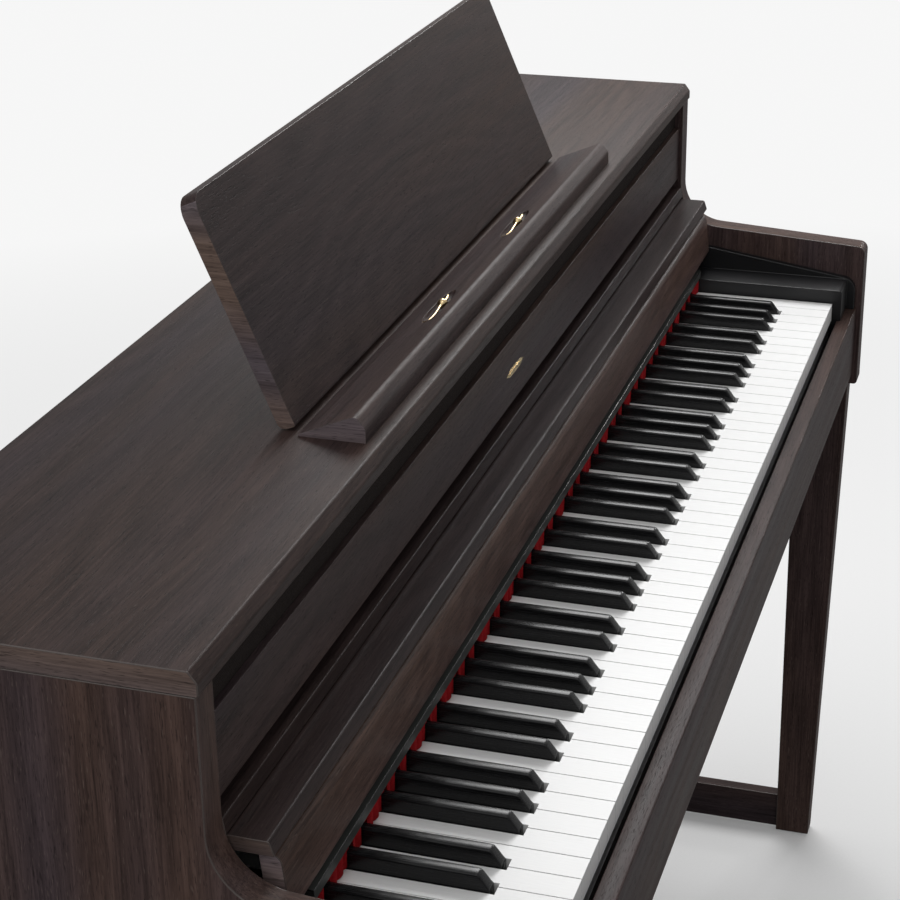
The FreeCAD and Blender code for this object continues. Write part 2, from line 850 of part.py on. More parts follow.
def round_controls():
    """Power button and volume knob; returns the pockets they stand in."""
    top = cells.block_top
    low = top - cells.control_depth
    fit = cells.button_fit
    x = cells.control_x
    power_rise = 1.4
    power_start = (x, cells.power_y, low)
    power = rod("power_button", "z", power_start, cells.power_radius, cells.control_depth + power_rise)
    keep("power_button", power)
    pocket_room = 2.0
    pocket_length = 20.0
    pocket_start = (x, cells.power_y, low - pocket_room)
    power_pocket = rod("power_pocket", "z", pocket_start, cells.power_radius + fit, pocket_length)
    cap_height = 6.0
    cap_gap = 0.4
    cap_low = top + cap_gap
    shaft_length = 13.0
    shaft_root = 0.6
    shaft_low = cap_low + shaft_root - shaft_length
    shaft_room = 1.0
    groove_depth = 0.8
    groove_half = 0.6
    groove_front = 10.0
    groove_rear = 3.0
    cap = rod("volume_cap", "z", (x, cells.volume_y, cap_low), cells.volume_radius, cap_height)
    shaft = rod("volume_shaft", "z", (x, cells.volume_y, shaft_low), cells.volume_shaft, shaft_length)
    groove_y = (cells.volume_y - groove_front, cells.volume_y - groove_rear)
    groove_z = (cap_low + cap_height - groove_depth, cap_low + cap_height + groove_depth)
    groove = block("volume_mark", (x - groove_half, x + groove_half), groove_y, groove_z)
    keep("volume_knob", cut("volume_knob", fuse("volume_knob_body", [cap, shaft]), [groove]))
    hole_start = (x, cells.volume_y, shaft_low - shaft_room)
    hole_radius = cells.volume_shaft + cells.running_gap
    volume_pocket = rod("volume_pocket", "z", hole_start, hole_radius, pocket_length)
    return [power_pocket, volume_pocket]


def flat_controls():
    """Display window and two function buttons; returns the pockets they stand in."""
    top = cells.block_top
    low = top - cells.control_depth
    fit = cells.button_fit
    x_span = (cells.control_x - cells.display_half, cells.control_x + cells.display_half)
    y_span = (cells.display_front, cells.display_rear)
    window_rise = 0.2
    window_top = top + window_rise
    window_low = window_top - cells.display_thick
    keep("display_window", block("display_window", x_span, y_span, (window_low, window_top)))
    pockets = [block("display_pocket", x_span, y_span, (window_low, top + overshoot))]
    x_span = (cells.control_x - cells.button_half, cells.control_x + cells.button_half)
    x_room = (x_span[0] - fit, x_span[1] + fit)
    button_rise = 1.2
    button_top = top + button_rise
    pocket_room = 2.0
    for number, front in ((1, cells.button_1_front), (2, cells.button_2_front)):
        rear = front + cells.button_length
        name = f"function_button_{number}"
        keep(name, block(name, x_span, (front, rear), (low, button_top)))
        y_room = (front - fit, rear + fit)
        z_room = (low - pocket_room, top + overshoot)
        pockets.append(block(f"function_pocket_{number}", x_room, y_room, z_room))
    return pockets


def key_blocks():
    pockets = round_controls() + flat_controls()
    keep("left_key_block", cut("left_key_block", key_block("left", -1), pockets))
    keep("right_key_block", key_block("right", 1))


# ---------------------------------------------------------------- music desk

def on_ledge_slope(item):
    """Stand an item, drawn round the recess's middle, on the ledge's slope."""
    ridge = cells.top_height + cells.ledge_rise
    fall = tangent(cells.ledge_slope)
    height = ridge - (cells.holder_depth - cells.ledge_ridge) * fall
    place(item, 0.0, cells.holder_depth, height)
    tilt(item, -cells.ledge_slope)


def holder_recess(side, middle):
    """A long shallow scoop, as a tool."""
    scoop = doc.addObject("Part::Ellipsoid", f"{side}_scoop")
    bind(scoop, "Radius1", cells.holder_recess_depth)
    bind(scoop, "Radius2", cells.holder_recess_length / 2)
    bind(scoop, "Radius3", cells.holder_recess_width / 2)
    place(scoop, middle, 0.0, 0.0)
    return scoop


def ledge():
    top = cells.top_height
    heel = cells.ledge_rise - (cells.ledge_rear - cells.ledge_ridge) * tangent(cells.ledge_slope)
    outline = [
        (cells.ledge_rear, top),
        (cells.ledge_rear, top + heel),
        (cells.ledge_ridge, top + cells.ledge_rise),
        (cells.ledge_front, top + cells.ledge_step),
        (cells.ledge_front, top),
    ]
    rounds = [(2, cells.ledge_round), (3, cells.ledge_round)]
    wedge = prism("ledge_wedge", "YZ", outline, -cells.ledge_half, cells.ledge_half, rounds)
    bore_radius = cells.holder_pin + cells.running_gap
    end_room = 0.5
    bore_half = cells.holder_pin_half + end_room
    tools = []
    for side, sign in sides():
        middle = cells.holder_centre * sign
        bore_start = (middle - cells.holder_arm, -bore_half, -cells.holder_sink)
        bore = rod(f"{side}_holder_bore", "y", bore_start, bore_radius, bore_half * 2)
        recess = fuse(f"{side}_holder_recess", [holder_recess(side, middle), bore])
        on_ledge_slope(recess)
        tools.append(recess)
    keep("music_ledge", cut("music_ledge", wedge, tools))


def page_holder(side, sign):
    """Wire arm on a cross pin, with a ball to press it down by and a hooked tip."""
    arm_radius = 1.2
    arm_length = 36.0
    ball_radius = 4.6
    ball_reach = 8.0
    ball_sink = 1.0
    hook_radius = 1.5
    hook_length = 16.0
    hook_reach = 10.0
    hook_sink = 1.5
    middle = cells.holder_centre * sign
    pin_x = middle - cells.holder_arm
    sunk = -cells.holder_sink
    pin_start = (pin_x, -cells.holder_pin_half, sunk)
    pin = rod(f"{side}_holder_pin", "y", pin_start, cells.holder_pin, cells.holder_pin_half * 2)
    arm = rod(f"{side}_holder_arm", "x", (pin_x, 0.0, sunk), arm_radius, arm_length)
    ball = doc.addObject("Part::Sphere", f"{side}_holder_ball")
    bind(ball, "Radius", ball_radius)
    place(ball, middle + ball_reach, 0.0, -ball_sink)
    hook_start = (middle + hook_reach, 0.0, -hook_sink)
    hook = rod(f"{side}_holder_hook", "x", hook_start, hook_radius, hook_length)
    holder = fuse(f"page_holder_{side}", [pin, arm, ball, hook])
    on_ledge_slope(holder)
    keep(f"page_holder_{side}", holder)


def rest_pose(item):
    place(item, 0.0, cells.rest_pivot_y, cells.rest_pivot_z)
    tilt(item, -cells.rest_lean)


def rest_corner(side, sign):
    """Tool that rounds one top corner of the rest."""
    radius = cells.rest_corner
    high = cells.rest_height - cells.rest_thick / 2
    tool_half = 20.0
    x_span = span_on(sign, cells.rest_half - radius, cells.rest_half + overshoot)
    z_span = (high - radius, high + overshoot)
    square = block(f"{side}_corner_square", x_span, (-tool_half, tool_half), z_span)
    centre = ((cells.rest_half - radius) * sign, -tool_half - 1.0, high - radius)
    disc = rod(f"{side}_corner_disc", "y", centre, radius, tool_half * 2 + 2.0)
    return cut(f"{side}_corner", square, [disc])


def rest_hinge(number, middle):
    """One knuckle: returns its bracket, its pin and the two tools that make room for it in the rest."""
    half = cells.hinge_width / 2
    pin_reach = 8.0
    pin_half = half + pin_reach
    eye_radius = 4.4
    end_room = 0.5
    eye_room = 0.4
    notch_rear = 10.0
    notch_low = -10.0
    notch_high = 8.0
    notch_x = (middle - half - end_room, middle + half + end_room)
    notch_y = (-eye_radius - eye_room, notch_rear)
    notch = block(f"hinge_notch_{number}", notch_x, notch_y, (notch_low, notch_high))
    bore_half = pin_half + end_room
    bore_radius = cells.pivot_radius + cells.running_gap
    bore = rod(f"hinge_bore_{number}", "x", (middle - bore_half, 0.0, 0.0), bore_radius, bore_half * 2)
    pivot = (cells.rest_pivot_y, cells.rest_pivot_z)
    foot_y = (pivot[0] - eye_radius, pivot[0] + eye_radius)
    foot_z = (cells.top_height, pivot[1])
    foot = block(f"bracket_foot_{number}", (middle - half, middle + half), foot_y, foot_z)
    eye = rod(f"bracket_eye_{number}", "x", (middle - half, *pivot), eye_radius, cells.hinge_width)
    eye_start = (middle - half - 1.0, *pivot)
    eye_bore = rod(f"bracket_bore_{number}", "x", eye_start, cells.pivot_radius, cells.hinge_width + 2.0)
    knuckle = fuse(f"bracket_knuckle_{number}", [foot, eye])
    bracket = cut(f"bracket_{number}", knuckle, [eye_bore])
    pin = rod(f"hinge_pin_{number}", "x", (middle - pin_half, *pivot), cells.pivot_radius, pin_half * 2)
    return bracket, pin, [notch, bore]


def stay_room():
    """Tools for the pocket that the stay folds into, and for its pin."""
    side_room = 1.0
    pin_reach = 4.0
    room_below = 8.0
    room_above = 6.0
    pocket_front = -2.2
    pocket_rear = 10.0
    half = cells.stay_width / 2 + side_room
    bore_half = half + pin_reach
    pocket_z = (cells.stay_height - room_below, cells.stay_height + cells.stay_length + room_above)
    pocket = block("stay_pocket", (-half, half), (pocket_front, pocket_rear), pocket_z)
    start = (-bore_half, cells.stay_offset, cells.stay_height)
    bore = rod("stay_bore", "x", start, cells.stay_pin + cells.running_gap, bore_half * 2)
    return [pocket, bore]


def music_rest():
    half_thick = cells.rest_thick / 2
    high = cells.rest_height - half_thick
    outline = [
        (half_thick, -half_thick),
        (half_thick, high),
        (-half_thick, high),
        (-half_thick, -half_thick),
    ]
    heel_round = half_thick - 0.2
    toe_round = 1.5
    rounds = [(0, heel_round), (3, toe_round)]
    plate = prism("rest_plate", "YZ", outline, -cells.rest_half, cells.rest_half, rounds)
    tools = [rest_corner(side, sign) for side, sign in sides()]
    brackets = []
    pins = []
    for number, step in enumerate((-1, 0, 1), start=1):
        bracket, pin, hinge_tools = rest_hinge(number, cells.hinge_spacing * step)
        brackets.append(bracket)
        pins.append(pin)
        tools.extend(hinge_tools)
    tools.extend(stay_room())
    rest = cut("music_rest", plate, tools)
    rest_pose(rest)
    keep("music_rest", rest)
    keep("rest_hinge_brackets", group("rest_hinge_brackets_group", brackets))
    keep("rest_hinge_pins", group("rest_hinge_pins_group", pins))


def rest_stay():
    """Prop behind the rest: a strip with a pin at its head and a round foot, drawn lying along +Y."""
    half = cells.stay_width / 2
    strip_half = 2.0
    head_radius = 3.2
    foot_radius = 3.0
    pin_reach = 4.4
    strip = block("stay_strip", (-half, half), (0.0, cells.stay_length), (-strip_half, strip_half))
    head = rod("stay_head", "x", (-half, 0.0, 0.0), head_radius, cells.stay_width)
    foot_start = (-half, cells.stay_length, 0.0)
    foot = rod("stay_foot", "x", foot_start, foot_radius, cells.stay_width)
    pin_half = half + pin_reach
    pin = rod("stay_pin", "x", (-pin_half, 0.0, 0.0), cells.stay_pin, pin_half * 2)
    stay = fuse("rest_stay", [strip, head, foot, pin])
    lean_sine = sine(cells.rest_lean)
    lean_cosine = cosine(cells.rest_lean)
    head_y = cells.rest_pivot_y + cells.stay_height * lean_sine + cells.stay_offset * lean_cosine
    head_z = cells.rest_pivot_z + cells.stay_height * lean_cosine - cells.stay_offset * lean_sine
    place(stay, 0.0, head_y, head_z)
    tilt(stay, -cells.stay_angle)
    keep("rest_stay", stay)


# ---------------------------------------------------------------- pedals and knee board

def pedal(name, middle):
    half = cells.pedal_half
    tip_half = cells.pedal_tip_half
    heel_length = 6.0
    tip_taper = 4.0
    nose_half = 8.0
    shoulder_round = 3.0
    nose_round = 6.0
    heel = cells.pedal_pivot_y + heel_length
    shoulder = cells.pedal_tip + tip_taper
    outline = [
        (middle - half, heel),
        (middle - half, cells.pedal_neck),
        (middle - tip_half, cells.pedal_cheek),
        (middle - tip_half, shoulder),
        (middle - nose_half, cells.pedal_tip),
        (middle + nose_half, cells.pedal_tip),
        (middle + tip_half, shoulder),
        (middle + tip_half, cells.pedal_cheek),
        (middle + half, cells.pedal_neck),
        (middle + half, heel),
    ]
    top = cells.pedal_bottom + cells.pedal_thick
    rounds = [(3, shoulder_round), (4, nose_round), (5, nose_round), (6, shoulder_round)]
    tongue = prism(f"{name}_tongue", "XY", outline, cells.pedal_bottom, top, rounds)
    pivot = (middle - cells.trunnion_half, cells.pedal_pivot_y, cells.pedal_pivot_z)
    trunnion = rod(f"{name}_trunnion", "x", pivot, cells.trunnion_radius, cells.trunnion_half * 2)
    keep(name, fuse(name, [tongue, trunnion]))


PEDALS = (("soft_pedal", -1), ("sostenuto_pedal", 0), ("damper_pedal", 1))


def pedal_bearings(name, middle):
    """The two lugs that carry one pedal, then the slot and bore it needs in the box."""
    lug_root = 1.0
    lug_half = 12.0
    lug_top = 60.0
    side_gap = 1.0
    slot_gap = 1.5
    travel_room = 10.0
    bore_reach = 3.0
    lug_low = cells.beam_bottom + cells.pedal_wall - lug_root
    lug_y = (cells.pedal_pivot_y - lug_half, cells.pedal_pivot_y + lug_half)
    near = cells.pedal_half + side_gap
    lugs = []
    for side, sign in sides():
        x_span = (middle + near * sign, middle + cells.trunnion_half * sign)
        if sign < 0:
            x_span = (x_span[1], x_span[0])
        lugs.append(block(f"{name}_{side}_lug", x_span, lug_y, (lug_low, lug_top)))
    slot_half = cells.pedal_tip_half + slot_gap
    slot_y = (cells.pedal_box_front - overshoot, cells.pedal_box_front + cells.pedal_wall + overshoot)
    slot_z = (cells.pedal_bottom - travel_room, cells.pedal_bottom + travel_room)
    slot = block(f"{name}_slot", (middle - slot_half, middle + slot_half), slot_y, slot_z)
    bore_half = cells.trunnion_half + bore_reach
    bore_start = (middle - bore_half, cells.pedal_pivot_y, cells.pedal_pivot_z)
    bore_radius = cells.trunnion_radius + cells.running_gap
    bore = rod(f"{name}_bore", "x", bore_start, bore_radius, bore_half * 2)
    return lugs, [slot, bore]


def pedal_box():
    wall = cells.pedal_wall
    half = cells.pedal_box_half
    low = cells.beam_bottom
    y_span = (cells.pedal_box_front, cells.beam_front)
    shell = block("pedal_shell", (-half, half), y_span, (low, cells.pedal_box_top))
    hollow_y = (cells.pedal_box_front + wall, cells.beam_front + overshoot)
    hollow_z = (low + wall, cells.pedal_box_top - wall)
    hollow = block("pedal_hollow", (wall - half, half - wall), hollow_y, hollow_z)
    pieces = [cut("pedal_box_shell", shell, [hollow])]
    stud_bore = cells.stud_radius + cells.running_gap
    bore_start = (0.0, cells.adjuster_y, low - overshoot)
    tools = [rod("adjuster_bore", "z", bore_start, stud_bore, wall + overshoot * 2)]
    for name, step in PEDALS:
        middle = cells.pedal_spacing * step
        pedal(name, middle)
        lugs, pedal_tools = pedal_bearings(name, middle)
        pieces.extend(lugs)
        tools.extend(pedal_tools)
    keep("pedal_box", cut("pedal_box", fuse("pedal_box_blank", pieces), tools))


def pedal_adjuster():
    foot_height = 10.0
    stud_root = 1.0
    stud_length = 25.0
    foot = rod("adjuster_foot", "z", (0.0, cells.adjuster_y, 0.0), cells.adjuster_radius, foot_height)
    stud_start = (0.0, cells.adjuster_y, foot_height - stud_root)
    stud = rod("adjuster_stud", "z", stud_start, cells.stud_radius, stud_length)
    keep("pedal_adjuster", fuse("pedal_adjuster", [foot, stud]))


def lower_boards():
    wide = (-inner_half, inner_half)
    knee_rear = cells.knee_front + cells.knee_board
    knee_z = (cells.beam_top, cells.keybed_bottom)
    keep("knee_board", block("knee_board", wide, (cells.knee_front, knee_rear), knee_z))
    beam_z = (cells.beam_bottom, cells.beam_top)
    keep("pedal_beam", block("pedal_beam", wide, (cells.beam_front, knee_rear), beam_z))


# ---------------------------------------------------------------- sound and sockets

def speakers():
    deck = cells.keybed_bottom
    flange_low = deck - cells.flange_thick
    joint_depth = 1.0
    basket_low = deck - joint_depth
    basket_wall = 2.0
    basket_end = 26.0
    magnet_low = basket_low + cells.basket_height - joint_depth
    throat_rim = 4.0
    throat_end = 14.0
    throat_length = 36.0
    throat_low = flange_low - 0.5
    built = []
    for side, sign in sides():
        x = cells.speaker_x * sign
        y = cells.speaker_y
        name = f"{side}_speaker"
        flange = rod(f"{name}_flange", "z", (x, y, flange_low), cells.speaker_flange, cells.flange_thick)
        basket_radius = cells.speaker_hole - basket_wall
        basket_start = (x, y, basket_low)
        basket = cone(f"{name}_basket", basket_start, basket_radius, basket_end, cells.basket_height)
        magnet = rod(f"{name}_magnet", "z", (x, y, magnet_low), cells.magnet_radius, cells.magnet_height)
        throat_radius = cells.speaker_hole - throat_rim
        throat_start = (x, y, throat_low)
        throat = cone(f"{name}_throat", throat_start, throat_radius, throat_end, throat_length)
        built.append(cut(name, fuse(f"{name}_body", [flange, basket, magnet]), [throat]))
    keep("speakers", group("speakers_group", built))


def circuit_board():
    x_span = (cells.card_left, cells.card_right)
    card_y = (cells.card_front, cells.card_front + cells.card_thick)
    card = block("sound_card", x_span, card_y, (keybed_top, cells.card_top))
    flange_width = 14.0
    flange_y = (cells.card_front, cells.card_front + flange_width)
    flange = block("sound_card_flange", x_span, flange_y, (keybed_top, keybed_top + cells.card_thick))
    keep("circuit_board", fuse("circuit_board", [card, flange]))


def power_inlet():
    x_span = (cells.inlet_left, cells.inlet_right)
    middle_x = (cells.inlet_left + cells.inlet_right) / 2
    middle_z = (cells.inlet_low + cells.inlet_high) / 2
    y_span = (cells.inlet_front, cells.inlet_rear)
    housing = block("inlet_housing", x_span, y_span, (cells.inlet_low, cells.inlet_high))
    side_wall = 5.0
    floor_wall = 4.5
    rear_wall = 12.0
    prong_step = 4.5
    prong_radius = 1.2
    prong_length = 13.0
    prong_root = 1.0
    shelf_length = 20.0
    shelf_joint = 0.5
    mouth_x = (cells.inlet_left + side_wall, cells.inlet_right - side_wall)
    mouth_z = (cells.inlet_low + floor_wall, cells.inlet_high - floor_wall)
    mouth_front = cells.inlet_front + rear_wall
    mouth = block("inlet_mouth", mouth_x, (mouth_front, cells.inlet_rear + 1.0), mouth_z)
    pieces = [cut("inlet_shell", housing, [mouth])]
    for side, sign in sides():
        start = (middle_x + prong_step * sign, mouth_front - prong_root, middle_z)
        pieces.append(rod(f"inlet_{side}_prong", "y", start, prong_radius, prong_length))
    shelf_y = (cells.inlet_front, cells.inlet_front + shelf_length)
    shelf_z = (keybed_top, cells.inlet_low + shelf_joint)
    pieces.append(block("inlet_shelf", x_span, shelf_y, shelf_z))
    keep("power_inlet", fuse("power_inlet", pieces))


def headphone_jacks():
    x_span = (cells.jack_box_left, cells.jack_box_right)
    y_span = (cells.jack_box_front, cells.jack_box_rear)
    box = block("jack_box_blank", x_span, y_span, (cells.jack_box_bottom, cells.keybed_bottom))
    lead = 1.0
    large_depth = 32.0
    small_depth = 16.0
    mouth = cells.jack_box_front - lead
    large_start = (cells.large_jack_x, mouth, cells.jack_height)
    large = rod("large_jack", "y", large_start, cells.large_jack_radius, large_depth + lead)
    small_start = (cells.small_jack_x, mouth, cells.jack_height)
    small = rod("small_jack", "y", small_start, cells.small_jack_radius, small_depth + lead)
    keep("headphone_jack_box", cut("headphone_jack_box", box, [large, small]))


SCREW_ROWS = (640.0, 790.0, 925.0)
SCREW_COLUMNS = (-640.0, -320.0, 0.0, 320.0, 640.0)
SCREW_RADIUS = 4.0
SCREW_CROWN = 3.0
SCREW_HEAD = 1.6


def screws():
    heads = []
    for row, z in enumerate(SCREW_ROWS):
        for column, x in enumerate(SCREW_COLUMNS):
            name = f"back_screw_head_{row}_{column}"
            head = cone(name, (0.0, 0.0, 0.0), SCREW_RADIUS, SCREW_CROWN, SCREW_HEAD)
            head.Placement = FreeCAD.Placement(FreeCAD.Vector(), TO_Y)
            place(head, x, cells.board_back, z)
            heads.append(head)
    keep("back_panel_screws", group("back_panel_screws_group", heads))


side_panels()
stand_legs()
top_board()
back_panel()
keybed()
upper_front()
lid()
lid_running_gear()
keys()
key_felt()
key_support()
key_blocks()
ledge()
for side_name, side_sign in sides():
    page_holder(side_name, side_sign)
music_rest()
rest_stay()
pedal_box()
pedal_adjuster()
lower_boards()
speakers()
circuit_board()
power_inlet()
headphone_jacks()
screws()
doc.recompute()

for item in doc.Objects:
    if "Invalid" in item.State or "Error" in item.State:
        raise RuntimeError(f"{item.Name} failed: {item.State}")
for label, item in sub_parts.items():
    if item.Shape.isNull() or not item.Shape.isValid():
        raise RuntimeError(f"{label} has no valid shape")

os.makedirs("parts", exist_ok=True)
for label, item in sub_parts.items():
    item.Shape.exportStep(f"parts/{label}.step")
    bounds = item.Shape.BoundBox
    print(f"{label:24s} solids {len(item.Shape.Solids):3d}  volume {item.Shape.Volume / 1000:10.1f} cm3  "
          f"x {bounds.XMin:8.1f} {bounds.XMax:8.1f}  y {bounds.YMin:7.1f} {bounds.YMax:7.1f}  "
          f"z {bounds.ZMin:7.1f} {bounds.ZMax:7.1f}")
print(len(sub_parts), "sub-parts")
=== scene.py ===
"""Looks of the digital piano on its stand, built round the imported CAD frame.

Metres, +Z up, the player sits at -Y and the treble end is +X.
"""

import json
import math

import bmesh
import bpy
from mathutils import Matrix, Vector


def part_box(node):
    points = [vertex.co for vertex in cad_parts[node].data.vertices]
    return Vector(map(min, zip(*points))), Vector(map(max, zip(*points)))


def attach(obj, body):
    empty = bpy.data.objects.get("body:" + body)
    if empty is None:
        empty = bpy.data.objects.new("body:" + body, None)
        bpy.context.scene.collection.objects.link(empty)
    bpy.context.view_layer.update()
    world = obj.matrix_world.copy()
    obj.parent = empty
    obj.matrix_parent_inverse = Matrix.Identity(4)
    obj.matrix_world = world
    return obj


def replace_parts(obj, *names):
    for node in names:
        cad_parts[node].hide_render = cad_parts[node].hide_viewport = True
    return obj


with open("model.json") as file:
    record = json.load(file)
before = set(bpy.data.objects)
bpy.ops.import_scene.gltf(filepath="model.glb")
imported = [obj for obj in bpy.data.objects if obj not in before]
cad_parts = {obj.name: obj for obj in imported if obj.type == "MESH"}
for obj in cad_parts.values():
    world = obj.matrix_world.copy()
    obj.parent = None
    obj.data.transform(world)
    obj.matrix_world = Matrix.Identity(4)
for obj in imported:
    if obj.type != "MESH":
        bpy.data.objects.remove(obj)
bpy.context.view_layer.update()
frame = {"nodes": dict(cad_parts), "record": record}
nodes = frame["nodes"]

MM = 0.001

# The camera stands at the bass end, above the player's side.
CAMERA_PLACE = (-1.64205, -0.48356, 1.55225)
CAMERA_YAW = 72.1732
CAMERA_PITCH = 23.8567
CAMERA_ROLL = -0.9522
CAMERA_LENS = 85.4

FLOOR_RADIUS = 90.0
BACKDROP = 0.925


# ---------------------------------------------------------------- node graphs


class Graph:
    """A material with short calls for the nodes used here."""

    def __init__(self, name):
        self.material = bpy.data.materials.new(name)
        self.material.use_nodes = True
        self.tree = self.material.node_tree
        self.shader = self.tree.nodes["Principled BSDF"]
        coordinates = self.add("ShaderNodeTexCoord")
        self.place = coordinates.outputs["Object"]
        self.normal = coordinates.outputs["Normal"]

    def feed(self, socket, value):
        if isinstance(value, bpy.types.NodeSocket):
            self.tree.links.new(value, socket)
        else:
            socket.default_value = value

    def add(self, kind, inputs=None, **settings):
        made = self.tree.nodes.new(kind)
        for name, value in settings.items():
            setattr(made, name, value)
        for key, value in (inputs or {}).items():
            self.feed(made.inputs[key], value)
        return made

    def math(self, operation, first, second=0.0, third=0.0):
        inputs = {0: first, 1: second, 2: third}
        return self.add("ShaderNodeMath", inputs, operation=operation).outputs[0]

    def vector(self, operation, first, second):
        inputs = {0: first, 1: second}
        return self.add("ShaderNodeVectorMath", inputs, operation=operation).outputs[0]

    def noise(self, vector, stretch, detail=2.0, roughness=0.5):
        """Noise whose cell is 1 / stretch along each axis, from 0 to 1."""
        scaled = self.vector("MULTIPLY", vector, stretch)
        inputs = {"Vector": scaled, "Scale": 1.0, "Detail": detail, "Roughness": roughness}
        return self.add("ShaderNodeTexNoise", inputs).outputs["Fac"]

    def spread(self, value, low, high, to_low=0.0, to_high=1.0):
        """Value from low to high, mapped to to_low to to_high and clamped."""
        inputs = {
            "Value": value,
            "From Min": low,
            "From Max": high,
            "To Min": to_low,
            "To Max": to_high,
        }
        return self.add("ShaderNodeMapRange", inputs, clamp=True).outputs["Result"]

    def mix(self, share, first, second, blend="MIX"):
        """Mix of two colours."""
        inputs = {"Factor": share, 6: first, 7: second}
        made = self.add("ShaderNodeMix", inputs, data_type="RGBA", blend_type=blend)
        return made.outputs[2]

    def pick(self, share, first, second):
        """Mix of two vectors."""
        inputs = {"Factor": share, 4: first, 5: second}
        made = self.add("ShaderNodeMix", inputs, data_type="VECTOR")
        return made.outputs[1]

    def bump(self, height, distance, strength=1.0):
        inputs = {"Height": height, "Distance": distance, "Strength": strength}
        made = self.add("ShaderNodeBump", inputs)
        self.feed(self.shader.inputs["Normal"], made.outputs["Normal"])

    def finish(self, **sockets):
        for name, value in sockets.items():
            self.feed(self.shader.inputs[name.replace("_", " ")], value)
        return self.material


def colour(red, green, blue):
    return (red, green, blue, 1.0)


def grey(level):
    return colour(level, level, level)


def scaled(base, factor):
    """A colour with each channel times a factor."""
    return colour(*(channel * factor for channel in base))


# ---------------------------------------------------------------- materials


AXES = {"x": 0, "y": 1, "z": 2}
VENEER_DARK = (0.0165, 0.0106, 0.0098)
VENEER_LIGHT = (0.0700, 0.0475, 0.0430)
VENEER_FLECK = (0.125, 0.095, 0.082)
VENEER_PORE = (0.006, 0.004, 0.004)
# End faces along X are made much lighter: partly the lighter tone of end grain, partly painted light for the
# light falling on them.
END_TONE_AND_PAINTED_LIGHT = (3.1, 3.6, 3.7)


def wood(name, grain, shift=0.0, light=1.0, gloss=(0.36, 0.54), relief=0.5):
    """Satin dark veneer with its fibres along the grain axis, and turned across it on the board's ends."""
    graph = Graph(name)
    split = graph.add("ShaderNodeSeparateXYZ", {0: graph.place}).outputs
    others = [axis for axis in "xyz" if axis != grain]
    along, across, deep = (split[AXES[axis]] for axis in (grain, others[0], others[1]))
    face = graph.add("ShaderNodeCombineXYZ", {0: along, 1: across, 2: deep}).outputs[0]
    end_deep = split[AXES["z" if grain == "x" else "x"]]
    end = graph.add("ShaderNodeCombineXYZ", {0: split[AXES["y"]], 1: along, 2: end_deep}).outputs[0]
    facing = graph.add("ShaderNodeSeparateXYZ", {0: graph.normal}).outputs[AXES[grain]]
    is_end = graph.math("GREATER_THAN", graph.math("ABSOLUTE", facing), 0.75)
    grained = graph.pick(is_end, face, end)
    grained = graph.vector("ADD", grained, (shift, shift * 1.7, shift * 0.6))

    sway_width = 0.014
    sway = graph.noise(grained, (3.0, 5.0, 5.0), 2.0, 0.5)
    swayed = graph.add("ShaderNodeCombineXYZ", {1: graph.math("MULTIPLY", sway, sway_width)}).outputs[0]
    grained = graph.vector("ADD", grained, swayed)
    figure = graph.noise(grained, (0.8, 5.5, 5.5), 1.0, 0.4)
    ring_count = 46.0
    rings = graph.math("SINE", graph.math("MULTIPLY", figure, ring_count * math.tau))
    fibre = graph.noise(grained, (18.0, 620.0, 620.0), 3.0, 0.62)
    streak = graph.noise(grained, (2.4, 120.0, 120.0), 2.0, 0.55)
    band = graph.noise(grained, (0.5, 13.0, 13.0), 1.0, 0.5)
    pore = graph.noise(grained, (130.0, 1300.0, 1300.0), 1.0, 0.5)
    fleck = graph.noise(grained, (120.0, 1100.0, 1100.0), 1.0, 0.5)

    tone = graph.math("MULTIPLY_ADD", graph.math("SUBTRACT", fibre, 0.5), 0.95, 0.5)
    tone = graph.math("MULTIPLY_ADD", graph.math("SUBTRACT", streak, 0.5), 0.60, tone)
    tone = graph.math("MULTIPLY_ADD", rings, 0.055, tone)
    # light scales the veneer's tone for each copy: painted light or painted shade for how light falls on the
    # parts that wear it
    base = graph.mix(graph.spread(tone, 0.15, 0.85), scaled(VENEER_DARK, light), scaled(VENEER_LIGHT, light))
    cool = colour(0.84, 0.90, 1.10)
    warm = colour(1.12, 1.00, 0.88)
    base = graph.mix(1.0, base, graph.mix(graph.spread(band, 0.35, 0.65), cool, warm), "MULTIPLY")
    # painted light, partly real: end faces are lifted over three times, for lighter end grain and for the
    # light falling on them
    if grain == "x":
        lifted = graph.mix(1.0, base, colour(*END_TONE_AND_PAINTED_LIGHT), "MULTIPLY")
        base = graph.mix(is_end, base, lifted)
    dark_pore = graph.spread(pore, 0.60, 0.72)
    base = graph.mix(graph.math("MULTIPLY", dark_pore, 0.55), base, colour(*VENEER_PORE))
    light_fleck = graph.spread(fleck, 0.64, 0.78, 0.0, 0.35)
    base = graph.mix(light_fleck, base, scaled(VENEER_FLECK, light))

    pore_depth = 0.12 * MM
    height = graph.math("SUBTRACT", graph.math("MULTIPLY", fibre, 0.5), dark_pore)
    graph.bump(height, pore_depth, relief)
    dulled = graph.math("ADD", streak, graph.math("MULTIPLY", dark_pore, 0.4))
    roughness = graph.spread(dulled, 0.3, 1.0, *gloss)
    return graph.finish(Base_Color=base, Roughness=roughness, Specular_IOR_Level=0.09)


